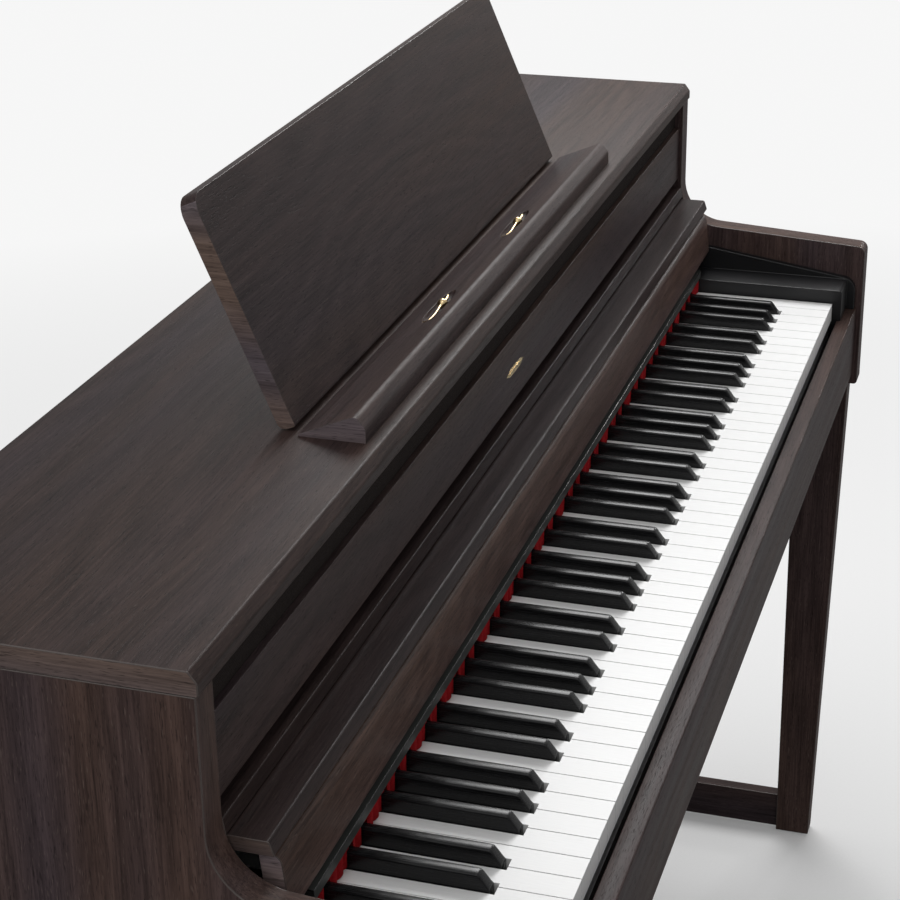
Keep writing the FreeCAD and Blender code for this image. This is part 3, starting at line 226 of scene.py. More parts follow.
def edge_with_painted_highlight(name, base, low_gloss, high_gloss):
    """Edge round made glossier, and lighter than the face beside it as a painted highlight along the edge."""
    graph = Graph(name)
    edge_patch = graph.noise(graph.place, (40.0, 40.0, 40.0), 3.0, 0.6)
    grain = graph.noise(graph.place, (700.0, 700.0, 700.0), 2.0, 0.6)
    level = graph.spread(graph.math("ADD", edge_patch, grain), 0.7, 1.3)
    # painted highlight: the edge colour is lifted up to 1.4 times its base, in patches
    tone = graph.mix(level, colour(*base), scaled(base, 1.4))
    gloss = graph.spread(edge_patch, 0.3, 0.7, low_gloss, high_gloss)
    return graph.finish(Base_Color=tone, Roughness=gloss, Specular_IOR_Level=0.5)


def plastic(name, base, low_gloss, high_gloss, grain=1400.0, depth=0.00004, specular=0.3):
    """Moulded plastic with a fine spark-eroded grain and slight tone drift."""
    graph = Graph(name)
    fine = graph.noise(graph.place, (grain, grain, grain), 2.0, 0.6)
    drift = graph.noise(graph.place, (18.0, 18.0, 18.0), 3.0, 0.55)
    shade = graph.mix(graph.spread(drift, 0.3, 0.7), scaled(base, 0.85), scaled(base, 1.25))
    graph.bump(fine, depth, 0.6)
    gloss = graph.spread(drift, 0.3, 0.7, low_gloss, high_gloss)
    return graph.finish(Base_Color=shade, Roughness=gloss, Specular_IOR_Level=specular)


def white_key_plastic():
    """Ivory-feel key top: very fine absorbent streaks along the key."""
    graph = Graph("key_white_satin")
    streak = graph.noise(graph.place, (2600.0, 60.0, 2600.0), 2.0, 0.6)
    cloud = graph.noise(graph.place, (25.0, 25.0, 25.0), 2.0, 0.5)
    shaded = colour(0.83, 0.83, 0.825)
    bright = colour(0.89, 0.89, 0.885)
    clouded = colour(0.86, 0.865, 0.87)
    base = graph.mix(graph.spread(streak, 0.35, 0.65), shaded, bright)
    base = graph.mix(graph.spread(cloud, 0.3, 0.7, 0.0, 0.25), base, clouded)
    graph.bump(streak, 0.00002, 0.5)
    gloss = graph.spread(streak, 0.3, 0.7, 0.30, 0.42)
    return graph.finish(Base_Color=base, Roughness=gloss, Specular_IOR_Level=0.45)


def black_key_plastic():
    """Ebony-feel key: satin, with fine open grain along the key."""
    graph = Graph("key_black_satin")
    streak = graph.noise(graph.place, (2200.0, 45.0, 2200.0), 2.0, 0.6)
    deep = colour(0.0045, 0.0045, 0.005)
    raised = colour(0.012, 0.012, 0.013)
    base = graph.mix(graph.spread(streak, 0.35, 0.7), deep, raised)
    graph.bump(streak, 0.00003, 0.6)
    gloss = graph.spread(streak, 0.3, 0.7, 0.20, 0.30)
    return graph.finish(Base_Color=base, Roughness=gloss, Specular_IOR_Level=0.30)


def felt(name, base, bright):
    """Pressed wool felt: a matted tangle of fibres, duller where it is worn."""
    graph = Graph(name)
    tangle = graph.noise(graph.place, (900.0, 900.0, 900.0), 4.0, 0.7)
    clump = graph.noise(graph.place, (160.0, 160.0, 160.0), 3.0, 0.6)
    tone = graph.mix(graph.spread(tangle, 0.3, 0.7), colour(*base), colour(*bright))
    tone = graph.mix(graph.spread(clump, 0.35, 0.7, 0.0, 0.5), tone, scaled(base, 0.6))
    graph.bump(tangle, 0.0006, 0.8)
    return graph.finish(Base_Color=tone, Roughness=0.95, Specular_IOR_Level=0.05)


def grille_cloth():
    """Fine woven speaker cloth, over and under on a square pitch."""
    graph = Graph("grille_weave")
    split = graph.add("ShaderNodeSeparateXYZ", {0: graph.place}).outputs
    pitch = 1.1 * MM
    over, under = (
        graph.math("SINE", graph.math("MULTIPLY", split[AXES[axis]], math.tau / pitch)) for axis in "xz"
    )
    weave = graph.math("MULTIPLY", over, under)
    fuzz = graph.noise(graph.place, (1600.0, 1600.0, 1600.0), 2.0, 0.6)
    level = graph.math("ADD", graph.math("MULTIPLY", weave, 0.35), fuzz)
    gap = colour(0.010, 0.008, 0.008)
    thread = colour(0.050, 0.040, 0.037)
    base = graph.mix(graph.spread(level, 0.2, 0.9), gap, thread)
    graph.bump(level, 0.0004, 0.8)
    return graph.finish(Base_Color=base, Roughness=0.95, Specular_IOR_Level=0.05)


def metal(name, base, low_gloss, high_gloss, stretch, tarnish):
    """Brushed metal: scratches along one axis and a little tarnish in patches."""
    graph = Graph(name)
    brush = graph.noise(graph.place, stretch, 3.0, 0.6)
    patch = graph.noise(graph.place, (60.0, 60.0, 60.0), 4.0, 0.6)
    shade = graph.mix(graph.spread(patch, 0.45, 0.75, 0.0, 0.6), colour(*base), colour(*tarnish))
    graph.bump(brush, 0.00002, 0.5)
    gloss = graph.spread(brush, 0.3, 0.7, low_gloss, high_gloss)
    return graph.finish(Base_Color=shade, Metallic=1.0, Roughness=gloss)


def display_glass():
    """Smoked display window with a faint wipe mark on it."""
    graph = Graph("display_smoked")
    smear = graph.noise(graph.place, (90.0, 90.0, 90.0), 3.0, 0.6)
    clear = colour(0.004, 0.005, 0.006)
    wiped = colour(0.010, 0.012, 0.014)
    base = graph.mix(graph.spread(smear, 0.3, 0.7), clear, wiped)
    gloss = graph.spread(smear, 0.3, 0.7, 0.06, 0.14)
    return graph.finish(Base_Color=base, Roughness=gloss, Coat_Weight=1.0, Coat_Roughness=0.04)


def circuit_green():
    """Solder mask over rows of copper tracks."""
    graph = Graph("circuit_solder_mask")
    split = graph.add("ShaderNodeSeparateXYZ", {0: graph.place}).outputs
    track_pitch = 4.0 * MM
    tracks = graph.math("SINE", graph.math("MULTIPLY", split[AXES["x"]], math.tau / track_pitch))
    wander = graph.noise(graph.place, (120.0, 120.0, 120.0), 2.0, 0.5)
    level = graph.math("MULTIPLY", tracks, graph.spread(wander, 0.45, 0.55))
    mask = colour(0.006, 0.055, 0.022)
    copper = colour(0.02, 0.12, 0.05)
    base = graph.mix(graph.spread(level, 0.2, 0.6), mask, copper)
    return graph.finish(Base_Color=base, Roughness=0.35)


BRASS = (0.78, 0.60, 0.33)
BRASS_TARNISH = (0.55, 0.42, 0.24)
STEEL = (0.52, 0.52, 0.53)
STEEL_TARNISH = (0.38, 0.37, 0.35)
IRON = (0.045, 0.045, 0.047)
IRON_TARNISH = (0.03, 0.03, 0.03)
MATERIALS = {
    # The wood copies share one veneer; the fourth number brightens or darkens each copy for how light falls
    # on its parts: painted light above 1, painted shade below 1.
    "wood_x": wood("wood_along_x", "x", 0.0, 1.1),
    "wood_top": wood("wood_top_board", "x", 3.1, 0.90),
    "wood_rest": wood("wood_music_rest", "x", 7.7, 0.95),
    "wood_y": wood("wood_along_y", "y", 1.3),
    "wood_z": wood("wood_along_z", "z", 5.2, 1.5),
    "wood_lid": wood("wood_sliding_lid", "x", 9.4, 0.68, (0.30, 0.40), 0.2),
    "wood_drop": wood("wood_lid_front", "x", 11.2, 1.7, (0.34, 0.46), 0.2),
    "wood_edge": edge_with_painted_highlight("wood_edge_painted_highlight", (0.062, 0.048, 0.043), 0.16, 0.26),
    "black_edge": edge_with_painted_highlight("black_edge_painted_highlight", (0.008, 0.008, 0.009), 0.10, 0.18),
    "block_black": plastic("key_block_black", (0.011, 0.011, 0.012), 0.34, 0.40),
    "black_plastic": plastic("satin_black_plastic", (0.012, 0.012, 0.013), 0.38, 0.44),
    "rail_satin": plastic("felt_rail_satin", (0.036, 0.038, 0.036), 0.46, 0.52, 1400.0, 0.00002, 0.5),
    "speaker_plastic": plastic("speaker_frame_plastic", (0.012, 0.012, 0.012), 0.45, 0.65),
    "speaker_paper": plastic("speaker_cone_paper", (0.020, 0.019, 0.018), 0.75, 0.9, 500.0, 0.0002, 0.2),
    "key_white": white_key_plastic(),
    "key_black": black_key_plastic(),
    "red_felt": felt("red_key_felt", (0.26, 0.008, 0.011), (0.40, 0.018, 0.022)),
    "black_felt": felt("black_bushing_felt", (0.010, 0.010, 0.010), (0.030, 0.029, 0.028)),
    "grille_cloth": grille_cloth(),
    "brass": metal("polished_brass", BRASS, 0.16, 0.30, (90.0, 1500.0, 1500.0), BRASS_TARNISH),
    "steel": metal("zinc_steel", STEEL, 0.28, 0.45, (1500.0, 90.0, 1500.0), STEEL_TARNISH),
    "black_metal": metal("black_steel", IRON, 0.35, 0.5, (1200.0, 1200.0, 90.0), IRON_TARNISH),
    "display_glass": display_glass(),
    "circuit_green": circuit_green(),
}


# ---------------------------------------------------------------- CAD nodes


def soften(item, width, edge_slot=-1):
    """Round a CAD node's edges with modifiers; an edge slot gives the rounds a material of their own."""
    weld = item.modifiers.new("weld", "WELD")
    weld.merge_threshold = 0.01 * MM
    flat = item.modifiers.new("flat", "DECIMATE")
    flat.decimate_type = "DISSOLVE"
    flat.angle_limit = math.radians(0.6)
    bevel = item.modifiers.new("edges", "BEVEL")
    bevel.width = width
    bevel.segments = 3
    bevel.limit_method = "ANGLE"
    bevel.angle_limit = math.radians(32)
    bevel.use_clamp_overlap = True
    bevel.harden_normals = False
    bevel.material = edge_slot
    smooth = item.modifiers.new("normals", "WEIGHTED_NORMAL")
    smooth.keep_sharp = False
    mesh = item.data
    if "custom_normal" in mesh.attributes:
        mesh.attributes.remove(mesh.attributes["custom_normal"])
    for polygon in mesh.polygons:
        polygon.use_smooth = True


# The material of a finish's rounded edges, lighter than the face as a painted highlight along each edge.
EDGES = {
    "wood_x": "wood_edge",
    "wood_top": "wood_edge",
    "wood_rest": "wood_edge",
    "wood_y": "wood_edge",
    "wood_z": "wood_edge",
    "wood_lid": "wood_edge",
    "wood_drop": "wood_edge",
    "key_black": "black_edge",
    "block_black": "black_edge",
    "rail_satin": "black_edge",
}


def dress(name, material, edge_mm):
    """Give a CAD node its material and rounded edges."""
    width = edge_mm * MM
    item = nodes[name]
    item.data.materials.clear()
    item.data.materials.append(MATERIALS[material])
    if material in EDGES:
        item.data.materials.append(MATERIALS[EDGES[material]])
        soften(item, width, 1)
    else:
        soften(item, width)


# Each node's finish and the width of its rounded edges in millimetres.
FINISHES = {
    "top_board": ("wood_top", 0.8),
    "left_side_panel": ("wood_z", 0.8),
    "right_side_panel": ("wood_z", 0.8),
    "left_front_leg": ("wood_z", 0.8),
    "right_front_leg": ("wood_z", 0.8),
    "left_foot_rail": ("wood_y", 0.8),
    "right_foot_rail": ("wood_y", 0.8),
    "foot_glides": ("black_plastic", 0.5),
    "back_panel": ("wood_x", 0.4),
    "back_panel_screws": ("steel", 0.2),
    "keybed": ("wood_x", 0.5),
    "key_slip": ("wood_x", 0.5),
    "front_panel": ("wood_x", 0.4),
    "speaker_cloth": ("grille_cloth", 0.3),
    "lid_trim_rail": ("wood_lid", 0.5),
    "lid_panel": ("wood_lid", 0.6),
    "lid_front": ("wood_drop", 0.5),
    "lid_rollers": ("black_plastic", 0.3),
    "lid_guides": ("black_plastic", 0.4),
    "key_felt": ("red_felt", 0.5),
    "felt_rail": ("rail_satin", 0.5),
    "key_frame": ("steel", 0.4),
    "key_pivot_rod": ("steel", 0.2),
    "power_button": ("black_plastic", 0.5),
    "volume_knob": ("black_plastic", 0.5),
    "display_window": ("display_glass", 0.15),
    "function_button_1": ("black_plastic", 0.4),
    "function_button_2": ("black_plastic", 0.4),
    "left_key_block": ("block_black", 0.6),
    "right_key_block": ("block_black", 0.6),
    "music_ledge": ("wood_x", 0.5),
    "page_holder_left": ("brass", 0.3),
    "page_holder_right": ("brass", 0.3),
    "music_rest": ("wood_rest", 0.9),
    "rest_hinge_brackets": ("black_metal", 0.4),
    "rest_hinge_pins": ("steel", 0.2),
    "rest_stay": ("black_metal", 0.4),
    "soft_pedal": ("brass", 1.2),
    "sostenuto_pedal": ("brass", 1.2),
    "damper_pedal": ("brass", 1.2),
    "pedal_box": ("black_plastic", 0.8),
    "pedal_adjuster": ("black_plastic", 0.8),
    "knee_board": ("wood_x", 0.5),
    "pedal_beam": ("wood_x", 0.8),
    "speakers": ("speaker_plastic", 0.5),
    "circuit_board": ("circuit_green", 0.1),
    "power_inlet": ("black_plastic", 0.4),
    "headphone_jack_box": ("black_plastic", 0.9),
}
KEY_EDGE = 0.5
KEYS = [node_name for node_name in nodes if node_name.startswith("keys_")]
SHARPS = [node_name for node_name in KEYS if node_name.endswith("_sharp")]
NATURALS = [node_name for node_name in KEYS if node_name not in SHARPS]

for node_name, (material_name, edge_width) in FINISHES.items():
    dress(node_name, material_name, edge_width)
for node_name in SHARPS:
    dress(node_name, "key_black", KEY_EDGE)
for node_name in NATURALS:
    dress(node_name, "key_white", KEY_EDGE)


# ---------------------------------------------------------------- shapes for the finer pieces


def add_piece(name, grid, material, body):
    """Turn a finished bmesh into a piece that rides on a CAD body."""
    bmesh.ops.recalc_face_normals(grid, faces=grid.faces)
    mesh = bpy.data.meshes.new(name)
    grid.to_mesh(mesh)
    grid.free()
    for polygon in mesh.polygons:
        polygon.use_smooth = True
    mesh.materials.append(MATERIALS[material])
    piece = bpy.data.objects.new(name, mesh)
    bpy.context.scene.collection.objects.link(piece)
    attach(piece, body)
    return piece


def crisp(piece, width, angle=35.0):
    """Small rounded edges on a piece with flat faces."""
    bevel = piece.modifiers.new("edges", "BEVEL")
    bevel.width = width
    bevel.segments = 2
    bevel.limit_method = "ANGLE"
    bevel.angle_limit = math.radians(angle)
    piece.modifiers.new("normals", "WEIGHTED_NORMAL").keep_sharp = False


def skin(grid, rings, closed_ends=True):
    """Join rings of equal length into a tube, with its ends filled."""
    made = [[grid.verts.new(point) for point in ring] for ring in rings]
    count = len(made[0])
    for near, far in zip(made, made[1:]):
        for index in range(count):
            after = (index + 1) % count
            grid.faces.new((near[index], near[after], far[after], far[index]))
    if closed_ends:
        grid.faces.new(made[0])
        grid.faces.new(made[-1])


def turned(grid, centre, axis, profile, steps=48, ribs=0, rib_depth=0.0, closed_ends=True):
    """Turn (radius, height, ribbed) points about an axis through centre; ribbed rings get a fluted edge."""
    axis = Vector(axis).normalized()
    side = axis.orthogonal().normalized()
    other = axis.cross(side)
    rings = []
    for radius, height, ribbed in profile:
        ring = []
        for step in range(steps):
            angle = math.tau * step / steps
            flute = rib_depth * (0.5 + 0.5 * math.cos(ribs * angle)) if ribbed else 0.0
            out = (radius - flute) * (side * math.cos(angle) + other * math.sin(angle))
            ring.append(Vector(centre) + axis * height + out)
        rings.append(ring)
    skin(grid, rings, closed_ends)


def swept(grid, path, radii, steps=20):
    """A round bar along a path whose thickness changes from point to point."""
    rings = []
    side = Vector((0.0, 1.0, 0.0))
    for index, point in enumerate(path):
        before = path[max(index - 1, 0)]
        after = path[min(index + 1, len(path) - 1)]
        ahead = (Vector(after) - Vector(before)).normalized()
        up = side.cross(ahead).normalized() if abs(ahead.y) < 0.9 else Vector((0.0, 0.0, 1.0))
        across = ahead.cross(up).normalized()
        ring = []
        for step in range(steps):
            angle = math.tau * step / steps
            ring.append(Vector(point) + radii[index] * (across * math.cos(angle) + up * math.sin(angle)))
        rings.append(ring)
    skin(grid, rings)


def plate(grid, outline, start, thickness):
    """Extrude a closed outline of points by a thickness vector, from an offset."""
    low = [Vector(point) + Vector(start) for point in outline]
    skin(grid, [low, [point + Vector(thickness) for point in low]])


def frame_bars(grid, low, high, width, z_low, z_high):
    """A rectangular ring on a level face, from its opening outwards."""
    corners = []
    for grow in (0.0, width):
        corners.append(
            [
                (low[0] - grow, low[1] - grow),
                (high[0] + grow, low[1] - grow),
                (high[0] + grow, high[1] + grow),
                (low[0] - grow, high[1] + grow),
            ]
        )
    levels = [(0, z_low), (1, z_low), (1, z_high), (0, z_high)]
    rings = [[grid.verts.new((*point, z)) for point in corners[loop]] for loop, z in levels]
    for near, far in zip(rings, rings[1:] + rings[:1]):
        for index in range(4):
            after = (index + 1) % 4
            grid.faces.new((near[index], near[after], far[after], far[index]))


# ---------------------------------------------------------------- music desk details


LEDGE_SLOPE = math.radians(22.75)
SLOPE_UP = Vector((0.0, math.sin(LEDGE_SLOPE), math.cos(LEDGE_SLOPE)))
SLOPE_BACK = Vector((0.0, math.cos(LEDGE_SLOPE), -math.sin(LEDGE_SLOPE)))
LEDGE_RIDGE = (-2.4 * MM, 974.0 * MM)
HOLDER_DEPTH = 16.0 * MM
HOLDER_ARM = 31.0 * MM


def on_ledge(x, up):
    """A point over the line of the page holders, at a height square to the ledge's slope."""
    ridge_y, ridge_z = LEDGE_RIDGE
    surface = Vector((x, HOLDER_DEPTH, ridge_z - (HOLDER_DEPTH - ridge_y) * math.tan(LEDGE_SLOPE)))
    return surface + SLOPE_UP * up


def holder_wire(pin_x, pin_sink):
    """Centre line and radii of one clip: thin arm, ball to press and a short tip that lifts."""
    path = []
    radii = []
    arm_length = 33.0 * MM
    arm_radius = 1.25
    arm_steps = 10
    for step in range(arm_steps + 1):
        share = step / arm_steps
        sag = math.sin(math.pi * share)
        path.append(on_ledge(pin_x + arm_length * share, (1.2 * share * share - 0.5 * sag) * MM - pin_sink))
        radii.append((arm_radius - 0.25 * sag) * MM)
    ball_x = pin_x + HOLDER_ARM + 8.0 * MM
    ball_radius = 4.4 * MM
    ball_sink = 1.0 * MM
    neck_radius = 1.4 * MM
    ball_steps = 16
    for step in range(1, ball_steps):
        angle = math.pi * step / ball_steps
        path.append(on_ledge(ball_x - ball_radius * math.cos(angle), -ball_sink))
        radii.append(max(ball_radius * math.sin(angle), neck_radius))
    tip_length = 13.0 * MM
    tip_lift = 1.4 * MM
    tip_steps = 8
    for step in range(1, tip_steps + 1):
        share = step / tip_steps
        path.append(on_ledge(ball_x + ball_radius + tip_length * share, tip_lift * share * share - ball_sink))
        radii.append((1.5 - 0.5 * share) * MM)
    return path, radii


def page_holder(side):
    """Brass wire clip that turns on a cross pin sunk in the ledge."""
    node = f"page_holder_{side}"
    pin_radius = 1.3 * MM
    pin_end = 0.9 * MM
    pin_half = 5.5 * MM
    pin_chamfer = 0.5 * MM
    pin_sink = 2.2 * MM
    pin_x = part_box(node)[0].x + pin_radius
    grid = bmesh.new()
    swept(grid, *holder_wire(pin_x, pin_sink))
    pin = [
        (pin_end, -pin_half, False),
        (pin_radius, pin_chamfer - pin_half, False),
        (pin_radius, pin_half - pin_chamfer, False),
        (pin_end, pin_half, False),
    ]
    turned(grid, on_ledge(pin_x, -pin_sink), SLOPE_BACK, pin, 24)
    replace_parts(add_piece(f"{node}_clip", grid, "brass", node), node)


for side_name in ("left", "right"):
    page_holder(side_name)


def inlay():
    """One slim brass lozenge, with a finer one raised inside it, let into the front panel."""
    face_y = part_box("front_panel")[0].y
    centre_x, centre_z = -13.0 * MM, 879.5 * MM
    grid = bmesh.new()
    root = 0.4 * MM
    for half, tall, proud in ((26.0 * MM, 3.6 * MM, 0.20 * MM), (19.0 * MM, 1.7 * MM, 0.45 * MM)):
        waist = 0.62 * half
        waist_tall = 0.8 * tall
        outline = [
            (-half, 0.0, 0.0),
            (-waist, 0.0, -waist_tall),
            (0.0, 0.0, -tall),
            (waist, 0.0, -waist_tall),
            (half, 0.0, 0.0),
            (waist, 0.0, waist_tall),
            (0.0, 0.0, tall),
            (-waist, 0.0, waist_tall),
        ]
        plate(grid, outline, (centre_x, face_y - proud, centre_z), (0.0, proud + root, 0.0))
    crisp(add_piece("front_panel_inlay", grid, "brass", "cabinet"), 0.12 * MM)


inlay()


# ---------------------------------------------------------------- black keys and felt


KEY_TOP = 735.5 * MM
SHARP_HALF = 5.5 * MM
SHARP_RISE = 12.0 * MM
SHARP_TAPER = 0.0625


def sharp_centres(node):
    """X of each black key in a node, from the gaps between its solids."""
    across = sorted(vertex.co.x for vertex in nodes[node].data.vertices)
    centres = []
    start = across[0]
    for before, after in zip(across, across[1:] + [across[0]]):
        if abs(after - before) > 2.0 * SHARP_HALF:
            centres.append((start + before) / 2)
            start = after
    return centres


def sharp_section(centre, y, top, bottom):
    """Outline of one black key across its length: tapered sides and two round shoulders."""
    rise = top - KEY_TOP
    shoulder = min(1.7 * MM, 0.6 * rise)
    half = SHARP_HALF - SHARP_TAPER * rise
    crown = 0.25 * MM
    corner_steps = 5
    right = [(SHARP_HALF, bottom), (SHARP_HALF, KEY_TOP)]
    for step in range(corner_steps + 1):
        angle = math.pi / 2 * step / corner_steps
        out = half - shoulder + shoulder * math.cos(angle)
        right.append((out, top - crown - shoulder + shoulder * math.sin(angle)))
    right.append((half * 0.35, top))
    left = [(-x, z) for x, z in reversed(right)]
    return [Vector((centre + x, y, z)) for x, z in right + left]


def black_keys(node):
    """Black keys with rounded shoulders and a rounded brow over the sloping front."""
    low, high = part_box(node)
    slope_run = 8.5 * MM
    brow = 1.3 * MM
    lowest_rise = 0.3 * MM
    stations = [high.y, low.y + 60.0 * MM, low.y + 20.0 * MM]
    stations += [low.y + slope_run * (1.7 - 0.1 * step) for step in range(17)]
    grid = bmesh.new()
    for centre in sharp_centres(node):
        rings = []
        for y in stations:
            on_slope = SHARP_RISE * (y - low.y) / slope_run
            bend = math.sqrt((on_slope - SHARP_RISE) ** 2 + brow**2)
            rise = (on_slope + SHARP_RISE - bend) / 2
            rings.append(sharp_section(centre, y, KEY_TOP + max(rise, lowest_rise), low.z))
        skin(grid, rings)
    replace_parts(add_piece(f"{node}_caps", grid, "key_black", node), node)


for sharp_node in SHARPS:
    black_keys(sharp_node)


def puckered_felt():
    """Felt strip that swells between its tacks, notched over each black key."""
    low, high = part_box("key_felt")
    tack = (high.x - low.x) / 104
    notch_half = SHARP_HALF + 0.8 * MM
    notch_top = KEY_TOP + SHARP_RISE + 1.5 * MM
    bulge = 2.6 * MM
    crown = 1.6 * MM
    soft = 0.9 * MM
    notches = sorted(centre for node in SHARPS for centre in sharp_centres(node))
    stations = []
    start = low.x
    for centre in notches + [high.x + notch_half]:
        stations.append((start, centre - notch_half, low.z))
        stations.append((centre - notch_half, centre + notch_half, notch_top))
        start = centre + notch_half
    rings = []
    for begin, end, bottom in stations[:-1]:
        steps = max(2, round((end - begin) / MM))
        for step in range(steps + 1):
            x = begin + (end - begin) * step / steps
            swell = abs(math.sin(math.pi * (x - low.x) / tack)) ** 0.6
            front = low.y + bulge * (1.0 - swell)
            top = high.z - crown * (1.0 - swell)
            section = [
                (high.y, bottom),
                (high.y, top),
                (front + 2.0 * soft, top),
                (front + 0.6 * soft, top - 0.4 * soft),
                (front, top - 1.2 * soft),
                (front, bottom + 0.8 * soft),
                (front + 0.6 * soft, bottom),
            ]
            rings.append([Vector((x, y, z)) for y, z in section])
    grid = bmesh.new()
    skin(grid, rings)
    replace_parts(add_piece("key_felt_strip", grid, "red_felt", "cabinet"), "key_felt")


puckered_felt()


# ---------------------------------------------------------------- pedals


PEDALS = ("soft_pedal", "sostenuto_pedal", "damper_pedal")
PEDAL_PIVOT = (112.0 * MM, 51.0 * MM)
PEDAL_NECK = 60.0 * MM
PEDAL_CHEEK = 5.0 * MM
PEDAL_BOTTOM = 52.0 * MM
PEDAL_TOP = 59.0 * MM
PEDAL_HALF = 12.0 * MM
TOE_HALF = 15.0 * MM


def pedal_width(y, tip):
    """Half width and share of the full thickness of a pedal at one depth."""
    if y > PEDAL_NECK:
        return PEDAL_HALF, 1.0
    if y > PEDAL_CHEEK:
        step = (PEDAL_NECK - y) / (PEDAL_NECK - PEDAL_CHEEK)
        return PEDAL_HALF + (TOE_HALF - PEDAL_HALF) * step * step * (3.0 - 2.0 * step), 1.0
    step = (PEDAL_CHEEK - y) / (PEDAL_CHEEK - tip)
    fade = math.sqrt(max(1.0 - step**5, 0.004))
    return TOE_HALF * fade, 0.35 + 0.65 * fade


def pedal(name):
    """Crowned brass pedal that widens to a rounded toe, on its cross shaft."""
    low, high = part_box(name)
    middle = (low.x + high.x) / 2
    heel = 118.0 * MM
    tip = -22.0 * MM
    middle_z = (PEDAL_BOTTOM + PEDAL_TOP) / 2
    rise = (PEDAL_TOP - PEDAL_BOTTOM) / 2
    side_power = 2.0 / 3.6
    crown_power = 2.0 / 2.4
    sole_power = 2.0 / 5.0
    rows = 44
    around = 40
    rings = []
    for row in range(rows + 1):
        y = heel + (tip - heel) * math.sin(math.pi / 2 * row / rows)
        wide, thick = pedal_width(y, tip)
        ring = []
        for turn in range(around):
            angle = math.tau * turn / around
            reach, lift = math.cos(angle), math.sin(angle)
            power = crown_power if lift > 0 else sole_power
            x = math.copysign(abs(reach) ** side_power, reach) * wide
            z = math.copysign(abs(lift) ** power, lift) * rise * thick
            ring.append(Vector((middle + x, y, middle_z + z)))
        rings.append(ring)
    grid = bmesh.new()
    skin(grid, rings)
    shaft_half = 17.0 * MM
    shaft_radius = 3.0 * MM
    shaft_end = 2.4 * MM
    chamfer = 0.6 * MM
    shaft = [
        (shaft_end, -shaft_half, False),
        (shaft_radius, chamfer - shaft_half, False),
        (shaft_radius, shaft_half - chamfer, False),
        (shaft_end, shaft_half, False),
    ]
    turned(grid, (middle, *PEDAL_PIVOT), (1.0, 0.0, 0.0), shaft, 24)
    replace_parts(add_piece(f"{name}_blade", grid, "brass", name), name)


def pedal_bushings():
    """A felt lip round each slot that a pedal comes out of."""
    face = 78.0 * MM
    spacing = 62.0 * MM
    slot_half = 16.5 * MM
    slot_low, slot_high = 42.0 * MM, 62.0 * MM
    lip = 2.4 * MM
    proud = 0.8 * MM
    grid = bmesh.new()
    for middle in (-spacing, 0.0, spacing):
        frame_bars(grid, (middle - slot_half, slot_low), (middle + slot_half, slot_high), lip, 0.0, proud)
    turn = Matrix.Rotation(math.pi / 2, 4, "X")
    bmesh.ops.transform(grid, matrix=Matrix.Translation((0.0, face, 0.0)) @ turn, verts=grid.verts)
    crisp(add_piece("pedal_slot_felt", grid, "black_felt", "cabinet"), 0.3 * MM)


for pedal_name in PEDALS:
    pedal(pedal_name)
pedal_bushings()


def adjuster():
    """Fluted foot under the pedal box, on a threaded stud."""
    low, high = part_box("pedal_adjuster")
    centre = ((low.x + high.x) / 2, (low.y + high.y) / 2, 0.0)
    radius = (high.x - low.x) / 2
    foot_top = 10.0 * MM
    profile = [
        (radius - 2.0 * MM, 0.0, False),
        (radius - 0.6 * MM, 0.4 * MM, False),
        (radius, 1.6 * MM, True),
        (radius, foot_top - 1.6 * MM, True),
        (radius - 1.4 * MM, foot_top - 0.3 * MM, False),
        (6.0 * MM, foot_top, False),
    ]
    thread_pitch = 1.5 * MM
    thread_root = 4.3 * MM
    thread_crest = 5.0 * MM
    level = foot_top + 0.2 * MM
    while level < high.z - thread_pitch:
        profile.append((thread_root, level, False))
        profile.append((thread_crest, level + thread_pitch / 2, False))
        level += thread_pitch
    profile.append((4.0 * MM, high.z, False))
    grid = bmesh.new()
    turned(grid, centre, (0.0, 0.0, 1.0), profile, steps=240, ribs=40, rib_depth=0.7 * MM)
    piece = add_piece("pedal_adjuster_screw", grid, "black_plastic", "pedal_adjuster")
    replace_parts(piece, "pedal_adjuster")


adjuster()


# ---------------------------------------------------------------- controls on the left key block


def volume_knob():
    """Fluted cap with a dished top, on its shaft."""
    low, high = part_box("volume_knob")
    centre = ((low.x + high.x) / 2, (low.y + high.y) / 2, 0.0)
    radius = (high.x - low.x) / 2
    cap_low = high.z - 6.0 * MM
    shaft_radius = 3.0 * MM
    profile = [
        (shaft_radius, low.z, False),
        (shaft_radius, cap_low, False),
        (radius - 0.8 * MM, cap_low, False),
        (radius - 0.1 * MM, cap_low + 0.6 * MM, True),
        (radius - 0.1 * MM, high.z - 1.3 * MM, True),
        (radius - 0.9 * MM, high.z - 0.3 * MM, False),
        (radius - 2.0 * MM, high.z, False),
        (radius - 2.8 * MM, high.z - 0.4 * MM, False),
        (1.0 * MM, high.z - 0.7 * MM, False),
    ]
    grid = bmesh.new()
    turned(grid, centre, (0.0, 0.0, 1.0), profile, steps=192, ribs=32, rib_depth=0.45 * MM)
    piece = add_piece("volume_knob_cap", grid, "black_plastic", "volume_knob")
    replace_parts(piece, "volume_knob")
    mark = bmesh.new()
    half = 0.5 * MM
    near, far = -2.0 * MM, -6.0 * MM
    outline = [(-half, far, 0.0), (half, far, 0.0), (half, near, 0.0), (-half, near, 0.0)]
    mark_sink = 0.9 * MM
    mark_height = 0.55 * MM
    plate(mark, outline, (centre[0], centre[1], high.z - mark_sink), (0.0, 0.0, mark_height))
    crisp(add_piece("volume_knob_mark", mark, "key_white", "volume_knob"), 0.1 * MM)


